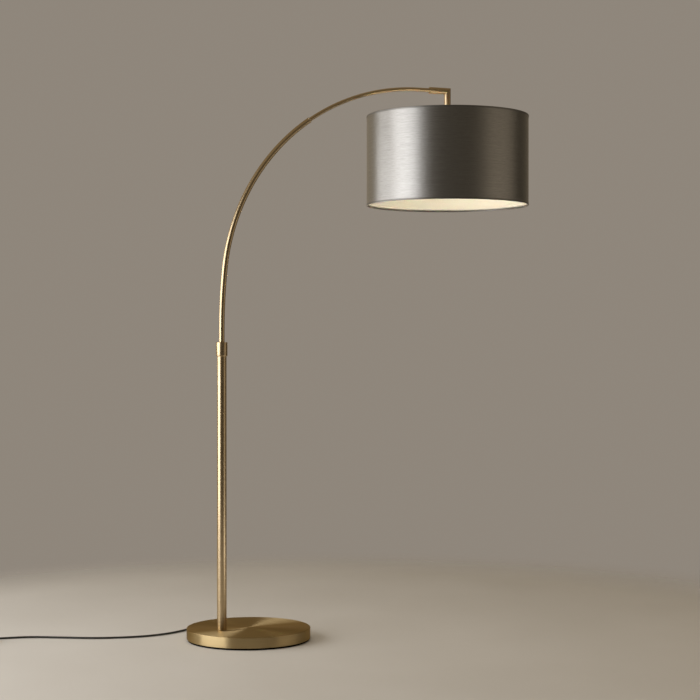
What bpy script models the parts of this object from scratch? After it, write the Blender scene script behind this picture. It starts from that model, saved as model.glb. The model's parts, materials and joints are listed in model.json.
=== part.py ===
"""Arc floor lamp: round weighted base, pole, two-piece arc arm, drum shade, lampholder, mains cord.

Metres, +Z up.  The origin is the centre of the base's underside, on the floor.
The arm leaves the pole towards +X.  The pole stands off the base's centre, so that
the weight lies under the arm.
"""

import math

import bmesh
import bpy
from mathutils import Matrix, Vector

# ---------------------------------------------------------------- driving sizes
GAP = 0.0003                 # kept between pieces that touch
STEPS_WIDE = 72              # sides of the base
STEPS_SHADE = 60             # sides of the shade
STEPS_TUBE = 24              # sides of poles, collars and bushes
STEPS_SMALL = 20             # sides of small fittings
SMOOTH_ANGLE = math.radians(35)

# base
BASE_RADIUS = 0.185
PAD_RADIUS = 0.1815
PAD_HEIGHT = 0.005
BASE_TOP = 0.0367
COVER_WALL = 0.0015
COVER_CHAMFER = 0.0012
RECESS_RADIUS = 0.022
RECESS_TOP = 0.0313
CHANNEL_WIDTH = 0.014
CHANNEL_TOP = 0.0205

# pole, which stands off the base's centre
POLE_X = -0.091
POLE_Y = -0.0225
POLE_RADIUS = 0.014
POLE_WALL = 0.0015
POLE_TOP = 0.874
POLE_FOOT = BASE_TOP + GAP
STUD_RADIUS = 0.006
STUD_BORE = 0.004
STUD_BOTTOM = 0.0205
STUD_TOP = 0.066

# collar that grips the arm in the pole
COLLAR_RADIUS = 0.0168
COLLAR_BOTTOM = 0.848
COLLAR_TOP = 0.890
COLLAR_CHAMFER = 0.0024

# arm: straight, then a gentle bend, then the main bend to level, then a short straight run
LOWER_TUBE_RADIUS = 0.00825
LOWER_TUBE_WALL = 0.0014
UPPER_TUBE_RADIUS = 0.0059
UPPER_TUBE_WALL = 0.001
LOWER_TUBE_FOOT = 0.596
BEND_START = 0.919
GENTLE_RADIUS = 1.88
GENTLE_ANGLE = math.radians(5.7)
MAIN_RADIUS = 0.632
JOINT_ANGLE = math.radians(55.0)
STUB_ANGLE = math.radians(1.5)        # straight stretch where the tubes plug together
ARC_STEP = math.radians(4.0)
MAIN_CENTRE_X = GENTLE_RADIUS - (GENTLE_RADIUS - MAIN_RADIUS) * math.cos(GENTLE_ANGLE)
MAIN_CENTRE_Z = BEND_START + (GENTLE_RADIUS - MAIN_RADIUS) * math.sin(GENTLE_ANGLE)
ARM_TOP = MAIN_CENTRE_Z + MAIN_RADIUS

# glide that guides the arm's foot inside the pole
GLIDE_BOTTOM = 0.600
GLIDE_TOP = 0.640
CLIP_HEIGHT = 0.002

# elbow: a level sleeve mitred to a drop tube
REACH = 0.7383
SLEEVE_START = 0.6763
ELBOW_RADIUS = 0.010
ELBOW_WALL = 0.00145
DROP_END = 1.572
SCREW_REACH = 0.690
SCREW_RADIUS = 0.0019

# shade
SHADE_RADIUS = 0.2525
SHADE_BOTTOM = 1.318
SHADE_TOP = 1.596
FABRIC_WALL = 0.0008
LINER_WALL = 0.0007
WIRE_RADIUS = 0.0016
TRIM_WALL = 0.0005
TRIM_HEIGHT = 0.0045
HUB_RADIUS = 0.015
HUB_WALL = 0.002
SPOKE_COUNT = 3

# lampholder and bulb, hung on a threaded nipple
NIPPLE_RADIUS = 0.0048
NIPPLE_BORE = 0.0038
NIPPLE_TOP = 1.590
NIPPLE_BOTTOM = 1.553
NUT_TOP = DROP_END - GAP - HUB_WALL - GAP
NUT_HEIGHT = 0.0035
CAP_TOP = NUT_TOP - NUT_HEIGHT - GAP
CAP_BOTTOM = CAP_TOP - 0.022
HOLDER_RADIUS = 0.0165
HOLDER_WALL = 0.0008
HOLDER_BOTTOM = CAP_BOTTOM - 0.046
INSULATOR_HEIGHT = 0.015
KNOB_HEIGHT = CAP_BOTTOM - GAP - 0.0085
BULB_CAP_RADIUS = 0.0129
BULB_CAP_TOP = CAP_BOTTOM - 0.0205
BULB_CAP_BOTTOM = BULB_CAP_TOP - 0.025
BULB_RADIUS = 0.030
BULB_BOTTOM = BULB_CAP_TOP - 0.108
GLASS_WALL = 0.001

# leads and mains cord
LEAD_RADIUS = 0.0029
ARM_LEAD_RADIUS = 0.0022
LEAD_TOP = 0.550
CORD_RADIUS = 0.003
EXIT_ANGLE = math.radians(95.0)
EXIT_HEIGHT = 0.0135
RELIEF_LENGTH = 0.022
FLOOR_LEVEL = 0.0032         # centre height of the cord where it lies on the floor
COIL_X = -0.760
COIL_Y = 0.245
COIL_RADIUS = 0.033
COIL_PITCH = 0.0062
COIL_TURNS = 4.25
CORD_POINT_STEP = 0.014
BEND_STRIDE = 0.0135         # the cord behind the base is laid in equal strides
STRAIGHT_STRIDES = 2
TURNING_STRIDES = 7
REAR_TURN = math.radians(130.0)
LANDING = 0.075              # length over which the cord comes down to the floor

# plug
PLUG_LENGTH = 0.034
PLUG_HALF_WIDTH = 0.0125
PLUG_HALF_HEIGHT = 0.0078
PLUG_RELIEF = 0.024
BLADE_LENGTH = 0.0172
BLADE_SPACING = 0.0127

# where the mains cord runs: from the strain relief, round behind the base, to the coil
EXIT_REACH = BASE_RADIUS + RELIEF_LENGTH + GAP
CORD_START = (EXIT_REACH * math.cos(EXIT_ANGLE), EXIT_REACH * math.sin(EXIT_ANGLE), EXIT_HEIGHT)
CORD_ROUTE = [
    (-0.1150, 0.2270, FLOOR_LEVEL),
    (-0.1500, 0.2000, FLOOR_LEVEL),
    (-0.1938, 0.1743, FLOOR_LEVEL),
    (-0.2568, 0.1545, FLOOR_LEVEL),
    (-0.3317, 0.1534, FLOOR_LEVEL),
    (-0.4230, 0.1758, FLOOR_LEVEL),
    (-0.5102, 0.2202, FLOOR_LEVEL),
    (-0.6009, 0.2650, FLOOR_LEVEL),
    (-0.6900, 0.2775, FLOOR_LEVEL),
    (COIL_X + 0.0205, COIL_Y + COIL_RADIUS, FLOOR_LEVEL),
]
TAIL_ROUTE = [
    (COIL_X - COIL_RADIUS, COIL_Y - 0.0210, 0.0278),
    (COIL_X - COIL_RADIUS - 0.0015, COIL_Y - 0.0450, 0.0205),
    (COIL_X - COIL_RADIUS - 0.0030, COIL_Y - 0.0680, 0.0105),
    (COIL_X - COIL_RADIUS - 0.0030, COIL_Y - 0.0900, PLUG_HALF_HEIGHT),
]

BRASS = ((0.46, 0.34, 0.16), 0.32, 1.0)
STEEL = ((0.55, 0.55, 0.56), 0.35, 1.0)
CONCRETE = ((0.32, 0.31, 0.29), 0.9, 0.0)
BLACK_RUBBER = ((0.02, 0.02, 0.02), 0.75, 0.0)
NYLON = ((0.75, 0.74, 0.70), 0.5, 0.0)
BLACK_PLASTIC = ((0.03, 0.03, 0.032), 0.4, 0.0)
CREAM = ((0.85, 0.78, 0.62), 0.6, 0.0)
PEWTER = ((0.30, 0.29, 0.27), 0.4, 0.6)
DARK_TRIM = ((0.04, 0.038, 0.035), 0.7, 0.0)
PHENOLIC = ((0.05, 0.03, 0.02), 0.4, 0.0)
OPAL_GLASS = ((0.92, 0.90, 0.86), 0.3, 0.0)

POLE = Vector((POLE_X, POLE_Y, 0.0))
SHADE_AXIS = Vector((POLE_X + REACH, POLE_Y, 0.0))


# ---------------------------------------------------------------- scene helpers
def clear_scene():
    for thing in list(bpy.data.objects):
        bpy.data.objects.remove(thing, do_unlink=True)


def new_collection(name):
    collection = bpy.data.collections.new(name)
    bpy.context.scene.collection.children.link(collection)
    return collection


def material(name, look):
    """A Principled material with a colour, a roughness and a metallic value."""
    color, roughness, metallic = look
    made = bpy.data.materials.new(name)
    made.use_nodes = True
    shader = made.node_tree.nodes["Principled BSDF"]
    shader.inputs["Base Color"].default_value = (*color, 1.0)
    shader.inputs["Roughness"].default_value = roughness
    shader.inputs["Metallic"].default_value = metallic
    return made


def add_object(name, data, look, location=(0.0, 0.0, 0.0)):
    """Put mesh or curve data in the lamp's collection, with its own material."""
    made = bpy.data.objects.new(name, data)
    made.location = location
    data.materials.append(material(name, look))
    parts.objects.link(made)
    return made


def add_cutter(name, mesh, location=(0.0, 0.0, 0.0)):
    made = bpy.data.objects.new(name, mesh)
    made.location = location
    made.hide_render = True
    made.display_type = "WIRE"
    cutters.objects.link(made)
    return made


def bake(thing):
    """Turn an object's curve or modifiers into a plain mesh with smooth round sides."""
    bpy.context.view_layer.update()
    graph = bpy.context.evaluated_depsgraph_get()
    mesh = bpy.data.meshes.new_from_object(thing.evaluated_get(graph))
    work = bmesh.new()
    work.from_mesh(mesh)
    bmesh.ops.remove_doubles(work, verts=work.verts, dist=0.00001)
    work.to_mesh(mesh)
    work.free()
    mesh.shade_smooth()
    mesh.set_sharp_from_angle(angle=SMOOTH_ANGLE)
    baked = bpy.data.objects.new(thing.name, mesh)
    baked.matrix_world = thing.matrix_world
    name = thing.name
    for collection in thing.users_collection:
        collection.objects.link(baked)
    bpy.data.objects.remove(thing, do_unlink=True)
    baked.name = name
    return baked


def cut(target, cutter):
    """Take the cutter's shape out of the target."""
    modifier = target.modifiers.new("cut_" + cutter.name, "BOOLEAN")
    modifier.operation = "DIFFERENCE"
    modifier.solver = "EXACT"
    modifier.object = cutter


def join_by_union(target, others):
    """Weld other solids into the target, so that they are one body."""
    for other in others:
        modifier = target.modifiers.new("join_" + other.name, "BOOLEAN")
        modifier.operation = "UNION"
        modifier.solver = "EXACT"
        modifier.object = other
    welded = bake(target)
    for other in others:
        bpy.data.objects.remove(other, do_unlink=True)
    return welded


# ---------------------------------------------------------------- shape helpers
def turned(name, profile, look, location=(0.0, 0.0, 0.0), steps=STEPS_TUBE, loop=True):
    """A turned solid: (radius, height) points that run down the outer side.

    loop closes the profile, for a piece with a bore; otherwise it starts and ends on the axis.
    """
    mesh = bpy.data.meshes.new(name)
    work = bmesh.new()
    verts = [work.verts.new((radius, 0.0, height)) for radius, height in profile]
    for first, second in zip(verts, verts[1:]):
        work.edges.new((first, second))
    if loop:
        work.edges.new((verts[-1], verts[0]))
    work.to_mesh(mesh)
    work.free()
    made = add_object(name, mesh, look, location)
    screw = made.modifiers.new("turn", "SCREW")
    screw.axis = "Z"
    screw.steps = steps
    screw.render_steps = steps
    screw.use_merge_vertices = True
    screw.merge_threshold = 0.00001
    screw.use_smooth_shade = True
    return bake(made)


def ring(name, outer, inner, top, bottom, look, location=(0.0, 0.0, 0.0), steps=STEPS_TUBE, chamfer=0.0):
    """A plain bush or washer, with its outer edges chamfered."""
    profile = [(outer, top), (outer, bottom)]
    if chamfer:
        profile = [(outer - chamfer, top), (outer, top - chamfer), (outer, bottom + chamfer),
                   (outer - chamfer, bottom)]
    profile += [(inner, bottom), (inner, top)]
    return turned(name, profile, look, location, steps)


def disc(name, radius, top, bottom, look, location=(0.0, 0.0, 0.0), steps=STEPS_TUBE, chamfer=0.0005):
    """A solid turned disc or pin."""
    profile = [(0.0, top), (radius - chamfer, top), (radius, top - chamfer),
               (radius, bottom + chamfer), (radius - chamfer, bottom), (0.0, bottom)]
    return turned(name, profile, look, location, steps, loop=False)


def curve_object(name, points, radius, look, sides=2, caps=True):
    """A round rod or wire along a poly line of points."""
    data = bpy.data.curves.new(name, "CURVE")
    data.dimensions = "3D"
    data.bevel_depth = radius
    data.bevel_resolution = sides
    data.use_fill_caps = caps
    spline = data.splines.new("POLY")
    spline.points.add(len(points) - 1)
    for slot, point in zip(spline.points, points):
        slot.co = (*point, 1.0)
    return add_object(name, data, look)


def tube(name, points, radius, wall, look, sides=5):
    """A hollow round tube along a poly line: an open skin, thickened inwards."""
    made = bake(curve_object(name, points, radius, look, sides, caps=False))
    solidify = made.modifiers.new("wall", "SOLIDIFY")
    solidify.thickness = wall
    solidify.offset = -1.0
    solidify.use_even_offset = True
    return bake(made)


def box_mesh(name, size, centre, turn=0.0):
    """A box mesh, turned about the vertical through its centre."""
    mesh = bpy.data.meshes.new(name)
    work = bmesh.new()
    place = Matrix.Translation(centre) @ Matrix.Rotation(turn, 4, "Z") @ Matrix.Diagonal((*size, 1.0))
    bmesh.ops.create_cube(work, size=1.0, matrix=place)
    work.to_mesh(mesh)
    work.free()
    return mesh


def cylinder_mesh(name, radius, start, end, segments=STEPS_SMALL):
    """A cylinder mesh between two points."""
    start = Vector(start)
    end = Vector(end)
    mesh = bpy.data.meshes.new(name)
    work = bmesh.new()
    axis = end - start
    place = Matrix.Translation((start + end) / 2) @ axis.to_track_quat("Z", "Y").to_matrix().to_4x4()
    bmesh.ops.create_cone(work, cap_ends=True, segments=segments, radius1=radius, radius2=radius,
                          depth=axis.length, matrix=place)
    work.to_mesh(mesh)
    work.free()
    return mesh


def lay_along(thing, direction, place):
    """Turn a piece made about +Z so that +Z lies along a direction, and move it."""
    thing.matrix_world = Matrix.Translation(place) @ Vector(direction).to_track_quat("Z", "X").to_matrix().to_4x4()


def smooth_points(route, step):
    """Points a step apart on a smooth curve through the route's points."""
    knots = [Vector(point) for point in route]
    knots = [knots[0] * 2 - knots[1]] + knots + [knots[-1] * 2 - knots[-2]]
    dense = []
    for before, start, end, after in zip(knots, knots[1:], knots[2:], knots[3:]):
        pieces = max(2, round((end - start).length / 0.002))
        for index in range(pieces):
            t = index / pieces
            dense.append(0.5 * (2 * start + (end - before) * t
                                + (2 * before - 5 * start + 4 * end - after) * t ** 2
                                + (3 * start - before - 3 * end + after) * t ** 3))
    dense.append(knots[-2])
    total = sum((b - a).length for a, b in zip(dense, dense[1:]))
    spacing = total / max(2, round(total / step))
    chosen = [dense[0]]
    walked = 0.0
    for first, second in zip(dense, dense[1:]):
        walked += (second - first).length
        if walked >= spacing * len(chosen) - 1e-9 and len(chosen) * spacing < total - spacing / 2:
            chosen.append(second)
    chosen.append(dense[-1])
    return chosen


# ---------------------------------------------------------------- arm geometry
def gentle_point(angle):
    """A point on the gentle bend, in the pole's own axes."""
    return Vector((GENTLE_RADIUS * (1 - math.cos(angle)), 0.0, BEND_START + GENTLE_RADIUS * math.sin(angle)))


def main_point(angle):
    """A point on the main bend; the angle runs from upright to level."""
    return Vector((MAIN_CENTRE_X - MAIN_RADIUS * math.cos(angle), 0.0,
                   MAIN_CENTRE_Z + MAIN_RADIUS * math.sin(angle)))


def angle_steps(start, end, step):
    """Evenly spaced angles from start to end, both included."""
    count = max(1, math.ceil((end - start) / step))
    return [start + (end - start) * index / count for index in range(count + 1)]


def lower_tube_line(foot):
    points = [Vector((0.0, 0.0, foot))]
    points += [gentle_point(angle) for angle in angle_steps(0.0, GENTLE_ANGLE, ARC_STEP)]
    points += [main_point(angle) for angle in angle_steps(GENTLE_ANGLE, JOINT_ANGLE - STUB_ANGLE, ARC_STEP)[1:]]
    points.append(main_point(JOINT_ANGLE))
    return points


def upper_tube_line(end_x):
    points = [main_point(JOINT_ANGLE - STUB_ANGLE)]
    points += [main_point(angle) for angle in angle_steps(JOINT_ANGLE, math.pi / 2, ARC_STEP)]
    points.append(Vector((end_x, 0.0, ARM_TOP)))
    return points


def from_pole(points):
    return [POLE + point for point in points]


# ---------------------------------------------------------------- base
def exit_direction():
    return Vector((math.cos(EXIT_ANGLE), math.sin(EXIT_ANGLE), 0.0))


def make_base_cover():
    """The spun shell over the weight: flat top, chamfered edge, upright side."""
    inner = BASE_RADIUS - COVER_WALL
    profile = [
        (0.0, BASE_TOP),
        (BASE_RADIUS - COVER_CHAMFER, BASE_TOP),
        (BASE_RADIUS, BASE_TOP - COVER_CHAMFER),
        (BASE_RADIUS, PAD_HEIGHT + GAP),
        (inner, PAD_HEIGHT + GAP),
        (inner, BASE_TOP - COVER_WALL),
        (0.0, BASE_TOP - COVER_WALL),
    ]
    cover = turned("base_cover", profile, BRASS, steps=STEPS_WIDE, loop=False)
    stud_hole = cylinder_mesh("stud_hole", STUD_RADIUS + 0.0004, POLE, POLE + Vector((0.0, 0.0, 0.06)))
    cut(cover, add_cutter("stud_hole", stud_hole))
    middle = Vector((0.0, 0.0, EXIT_HEIGHT))
    outward = exit_direction()
    wall_hole = cylinder_mesh("cord_hole", 0.0052, middle + outward * (BASE_RADIUS - 0.01),
                              middle + outward * (BASE_RADIUS + 0.01))
    cut(cover, add_cutter("cord_hole", wall_hole))


def make_base_weight():
    """The cast disc, with a recess for the nut and a channel for the lead underneath."""
    radius = BASE_RADIUS - COVER_WALL - GAP
    weight = disc("base_weight", radius, BASE_TOP - COVER_WALL - GAP, PAD_HEIGHT + GAP, CONCRETE,
                  steps=STEPS_WIDE, chamfer=0.001)
    bore = cylinder_mesh("weight_bore", STUD_RADIUS + 0.0005, POLE, POLE + Vector((0.0, 0.0, 0.06)))
    recess = cylinder_mesh("nut_recess", RECESS_RADIUS, POLE, POLE + Vector((0.0, 0.0, RECESS_TOP)))
    turn_point = exit_direction() * (BASE_RADIUS - 0.045)
    run = turn_point - POLE
    straight = box_mesh("lead_channel", (run.length + CHANNEL_WIDTH, CHANNEL_WIDTH, 2 * CHANNEL_TOP),
                        (POLE + turn_point) / 2, math.atan2(run.y, run.x))
    mouth = box_mesh("mouth_channel", (0.060, CHANNEL_WIDTH + 0.0006, 2 * CHANNEL_TOP + 0.0008),
                     exit_direction() * (BASE_RADIUS - 0.020), EXIT_ANGLE)
    for name, mesh in (("weight_bore", bore), ("nut_recess", recess), ("lead_channel", straight),
                       ("mouth_channel", mouth)):
        cut(weight, add_cutter(name, mesh))


def make_foot_pad():
    disc("foot_pad", PAD_RADIUS, PAD_HEIGHT, 0.0, BLACK_RUBBER, steps=STEPS_WIDE)


def hex_nut(name, across_corners, top, height, bore, look, location):
    """A hexagon nut with a plain bore."""
    mesh = cylinder_mesh(name, across_corners, (0.0, 0.0, top - height), (0.0, 0.0, top), segments=6)
    nut = add_object(name, mesh, look, location)
    hole = cylinder_mesh(name + "_hole", bore, (0.0, 0.0, top - 2 * height), (0.0, 0.0, top + height))
    cut(nut, add_cutter(name + "_hole", hole, location))


def make_anchor():
    """The hollow stud that holds the pole on the base, with its washer and nut."""
    ring("anchor_stud", STUD_RADIUS, STUD_BORE, STUD_TOP, STUD_BOTTOM, STEEL, POLE, STEPS_SMALL, 0.0006)
    washer_top = RECESS_TOP - GAP
    ring("anchor_washer", 0.018, STUD_RADIUS + 0.0005, washer_top, washer_top - 0.002, STEEL, POLE)
    hex_nut("anchor_nut", 0.0110, washer_top - 0.002 - GAP, 0.0075, STUD_RADIUS + GAP, STEEL, POLE)


def make_cord_bushing():
    """The strain relief: it snaps into the base's side and tapers along the cord."""
    wall_outside = BASE_RADIUS + GAP
    wall_inside = BASE_RADIUS - COVER_WALL - GAP
    tip = BASE_RADIUS + RELIEF_LENGTH
    profile = [
        (CORD_RADIUS + 0.0006, tip),
        (0.0048, wall_outside + 0.0035),
        (0.0066, wall_outside + 0.0022),
        (0.0066, wall_outside),
        (0.0049, wall_outside),
        (0.0049, wall_inside),
        (0.0061, wall_inside),
        (0.0050, wall_inside - 0.006),
        (CORD_RADIUS + 0.0002, wall_inside - 0.006),
        (CORD_RADIUS + 0.0002, tip),
    ]
    bushing = turned("cord_bushing", profile, BLACK_RUBBER, steps=STEPS_SMALL)
    lay_along(bushing, exit_direction(), (0.0, 0.0, EXIT_HEIGHT))


def make_base_lead():
    """The lead from the strain relief, through the weight's channel and up into the pole."""
    outward = exit_direction()
    level = Vector((0.0, 0.0, EXIT_HEIGHT))
    turn_point = outward * (BASE_RADIUS - 0.045)
    towards_pole = (POLE - turn_point).normalized()
    low = Vector((0.0, 0.0, 0.0088))
    bend = 0.011
    entry = [
        outward * (BASE_RADIUS + RELIEF_LENGTH) + level,
        outward * (BASE_RADIUS - 0.012) + level,
        turn_point + outward * 0.010 + level,
        turn_point + towards_pole * 0.010 + level,
        turn_point + towards_pole * 0.050 + low,
    ]
    points = smooth_points(entry, 0.008)
    points.append(POLE - towards_pole * (bend + 0.012) + low)
    for angle in angle_steps(0.0, math.pi / 2, math.radians(18)):
        forward = towards_pole * (bend * math.sin(angle) - bend)
        points.append(POLE + forward + low + Vector((0.0, 0.0, bend * (1 - math.cos(angle)))))
    points.append(POLE + Vector((0.0, 0.0, LEAD_TOP)))
    curve_object("base_lead", points, LEAD_RADIUS, BLACK_RUBBER)


# ---------------------------------------------------------------- pole and collar
def make_pole():
    inner = POLE_RADIUS - POLE_WALL
    ring("lower_pole", POLE_RADIUS, inner, POLE_TOP, POLE_FOOT, BRASS, POLE, chamfer=0.0004)
    ring("pole_foot_plug", inner - 0.0002, STUD_RADIUS + GAP, POLE_FOOT + 0.029, POLE_FOOT + 0.0003,
         STEEL, POLE, chamfer=0.0005)


def make_top_bush():
    """The guide bush in the pole's mouth, with a flange on its rim."""
    inner = POLE_RADIUS - POLE_WALL - 0.0002
    bore = LOWER_TUBE_RADIUS + 0.0002
    flange = POLE_TOP + GAP
    profile = [
        (POLE_RADIUS - 0.0001, flange + 0.002),
        (POLE_RADIUS - 0.0001, flange),
        (inner, flange),
        (inner, POLE_TOP - 0.040),
        (bore, POLE_TOP - 0.040),
        (bore, flange + 0.002),
    ]
    turned("pole_top_bush", profile, NYLON, POLE)


def make_collet():
    """The tapered split ring that the collar squeezes on to the arm."""
    bottom = POLE_TOP + 0.0026
    profile = [
        (0.0112, COLLAR_TOP - 0.0036),
        (0.0134, bottom),
        (LOWER_TUBE_RADIUS + 0.0002, bottom),
        (LOWER_TUBE_RADIUS + 0.0002, COLLAR_TOP - 0.0036),
    ]
    collet = turned("clamp_collet", profile, NYLON, POLE)
    slot = box_mesh("collet_slot", (0.020, 0.0012, 0.040), (-0.010, 0.0, bottom))
    cut(collet, add_cutter("collet_slot", slot, POLE))


def make_collar():
    """The collar that screws on the pole's top and grips the arm through the collet."""
    profile = [
        (COLLAR_RADIUS - 0.0006, COLLAR_TOP),
        (COLLAR_RADIUS, COLLAR_TOP - 0.0006),
        (COLLAR_RADIUS, COLLAR_BOTTOM + COLLAR_CHAMFER),
        (COLLAR_RADIUS - COLLAR_CHAMFER, COLLAR_BOTTOM),
        (POLE_RADIUS + GAP, COLLAR_BOTTOM),
        (POLE_RADIUS + GAP, POLE_TOP + 0.0029),
        (0.0118, COLLAR_TOP - 0.003),
        (LOWER_TUBE_RADIUS + 0.0003, COLLAR_TOP - 0.003),
        (LOWER_TUBE_RADIUS + 0.0003, COLLAR_TOP),
    ]
    turned("collar", profile, BRASS, POLE, steps=36)


# ---------------------------------------------------------------- arm
def make_lower_tube():
    tube("arc_lower_tube", from_pole(lower_tube_line(LOWER_TUBE_FOOT)), LOWER_TUBE_RADIUS,
         LOWER_TUBE_WALL, BRASS)


def make_glide():
    """The bush that slides in the pole and carries the arm's foot between two clips."""
    bore = LOWER_TUBE_RADIUS + 0.0002
    ring("glide_bush", POLE_RADIUS - POLE_WALL - 0.0002, bore, GLIDE_TOP, GLIDE_BOTTOM, NYLON, POLE,
         chamfer=0.0006)
    for name, bottom in (("glide_clip_lower", GLIDE_BOTTOM - GAP - CLIP_HEIGHT),
                         ("glide_clip_upper", GLIDE_TOP + GAP)):
        clip = ring(name, 0.0110, LOWER_TUBE_RADIUS + 0.0001, bottom + CLIP_HEIGHT, bottom, STEEL, POLE,
                    steps=STEPS_TUBE)
        mouth = box_mesh(name + "_mouth", (0.020, 0.006, 0.010), (-0.012, 0.0, bottom))
        cut(clip, add_cutter(name + "_mouth", mouth, POLE))


def make_upper_tube():
    tube("arc_upper_tube", from_pole(upper_tube_line(SLEEVE_START + 0.042)), UPPER_TUBE_RADIUS,
         UPPER_TUBE_WALL, BRASS)


def make_arm_ferrule():
    """The lipped ring in the thick tube's end, through which the thin tube goes in."""
    profile = [
        (LOWER_TUBE_RADIUS - 0.0006, 0.0036),
        (LOWER_TUBE_RADIUS + 0.0005, 0.0024),
        (LOWER_TUBE_RADIUS + 0.0005, 0.0009),
        (LOWER_TUBE_RADIUS, GAP),
        (LOWER_TUBE_RADIUS - LOWER_TUBE_WALL - GAP, GAP),
        (LOWER_TUBE_RADIUS - LOWER_TUBE_WALL - GAP, -0.014),
        (UPPER_TUBE_RADIUS + GAP, -0.014),
        (UPPER_TUBE_RADIUS + GAP, 0.0036),
    ]
    ferrule = turned("arm_ferrule", profile, BRASS)
    along = main_point(JOINT_ANGLE) - main_point(JOINT_ANGLE - STUB_ANGLE)
    lay_along(ferrule, along, POLE + main_point(JOINT_ANGLE))


# ---------------------------------------------------------------- elbow
def make_elbow():
    """The level sleeve and the drop tube, mitred and brazed into one piece."""
    corner = POLE + Vector((REACH, 0.0, ARM_TOP))
    mesh = bpy.data.meshes.new("elbow")
    work = bmesh.new()
    start = Matrix.Translation(POLE + Vector((SLEEVE_START, 0.0, ARM_TOP)))
    turn = Matrix.Rotation(math.pi / 2, 4, "Y")
    circle = bmesh.ops.create_circle(work, cap_ends=False, segments=STEPS_TUBE, radius=ELBOW_RADIUS,
                                     matrix=start @ turn)
    edges = list({edge for vert in circle["verts"] for edge in vert.link_edges})
    mitre = bmesh.ops.extrude_edge_only(work, edges=edges)["geom"]
    for vert in [item for item in mitre if isinstance(item, bmesh.types.BMVert)]:
        vert.co.x = corner.x + (vert.co.z - corner.z)
    edges = [item for item in mitre if isinstance(item, bmesh.types.BMEdge)]
    end = bmesh.ops.extrude_edge_only(work, edges=edges)["geom"]
    for vert in [item for item in end if isinstance(item, bmesh.types.BMVert)]:
        vert.co.z = DROP_END
    bmesh.ops.recalc_face_normals(work, faces=work.faces)
    work.to_mesh(mesh)
    work.free()
    elbow = add_object("elbow", mesh, BRASS)
    solidify = elbow.modifiers.new("wall", "SOLIDIFY")
    solidify.thickness = ELBOW_WALL
    solidify.offset = -1.0
    solidify.use_even_offset = True
    elbow = bake(elbow)
    below = POLE + Vector((SCREW_REACH, 0.0, ARM_TOP))
    hole = cylinder_mesh("screw_hole", SCREW_RADIUS + GAP, below - Vector((0.0, 0.0, 0.007)),
                         below - Vector((0.0, 0.0, 0.013)))
    cutter = add_cutter("screw_hole", hole)
    cut(elbow, cutter)
    return cutter


def make_sleeve_bush(screw_hole):
    """The bush between the thin tube and the sleeve, dimpled for the grub screw."""
    length = 0.040
    bush = ring("sleeve_bush", ELBOW_RADIUS - ELBOW_WALL - 0.0002, UPPER_TUBE_RADIUS + 0.0002, length, 0.0,
                BRASS, steps=STEPS_TUBE, chamfer=0.0003)
    lay_along(bush, (1.0, 0.0, 0.0), POLE + Vector((SLEEVE_START + 0.001, 0.0, ARM_TOP)))
    cut(bush, screw_hole)


def make_elbow_screw():
    """The grub screw under the sleeve, with a socket in its outer end."""
    profile = [
        (0.0, 0.0028),
        (SCREW_RADIUS - 0.0004, 0.0028),
        (SCREW_RADIUS, 0.0024),
        (SCREW_RADIUS, 0.0),
        (0.0010, 0.0),
        (0.0010, 0.0015),
        (0.0, 0.0015),
    ]
    screw = turned("elbow_grub_screw", profile, STEEL, steps=STEPS_SMALL, loop=False)
    screw.location = POLE + Vector((SCREW_REACH, 0.0, ARM_TOP - ELBOW_RADIUS + 0.0001))


def make_drop_fittings():
    """The threaded bush in the drop tube's mouth, the nipple and its lock nut."""
    ring("drop_bush", ELBOW_RADIUS - ELBOW_WALL - GAP, NIPPLE_RADIUS + GAP, DROP_END + 0.018,
         DROP_END + 0.0001, STEEL, SHADE_AXIS, steps=STEPS_TUBE, chamfer=0.0005)
    ring("lamp_nipple", NIPPLE_RADIUS, NIPPLE_BORE, NIPPLE_TOP, NIPPLE_BOTTOM, STEEL, SHADE_AXIS,
         steps=STEPS_SMALL, chamfer=0.0004)
    hex_nut("spider_nut", 0.0088, NUT_TOP, NUT_HEIGHT, NIPPLE_RADIUS + GAP, STEEL, SHADE_AXIS)


# ---------------------------------------------------------------- shade
def make_shade_skins():
    """The outer fabric and the liner that it is laminated to, as two nested drums."""
    ring("shade_fabric", SHADE_RADIUS, SHADE_RADIUS - FABRIC_WALL, SHADE_TOP, SHADE_BOTTOM, PEWTER,
         SHADE_AXIS, steps=STEPS_SHADE)
    outer = SHADE_RADIUS - FABRIC_WALL - GAP
    ring("shade_liner", outer, outer - LINER_WALL, SHADE_TOP, SHADE_BOTTOM, CREAM, SHADE_AXIS,
         steps=STEPS_SHADE)


def make_shade_trim(name, edge, inward):
    """The tape folded over a rim; inward is -1 where the folds hang down and +1 where they stand up."""
    outer = SHADE_RADIUS + GAP + TRIM_WALL
    inner = SHADE_RADIUS - FABRIC_WALL - GAP - LINER_WALL - GAP - TRIM_WALL
    crest = edge - inward * (GAP + TRIM_WALL)
    under = edge - inward * GAP
    legs = edge + inward * TRIM_HEIGHT
    profile = [
        (outer, crest), (outer, legs), (outer - TRIM_WALL, legs), (outer - TRIM_WALL, under),
        (inner + TRIM_WALL, under), (inner + TRIM_WALL, legs), (inner, legs), (inner, crest),
    ]
    if inward > 0:
        profile.reverse()
    turned(name, profile, DARK_TRIM, SHADE_AXIS, steps=STEPS_SHADE)


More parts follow.
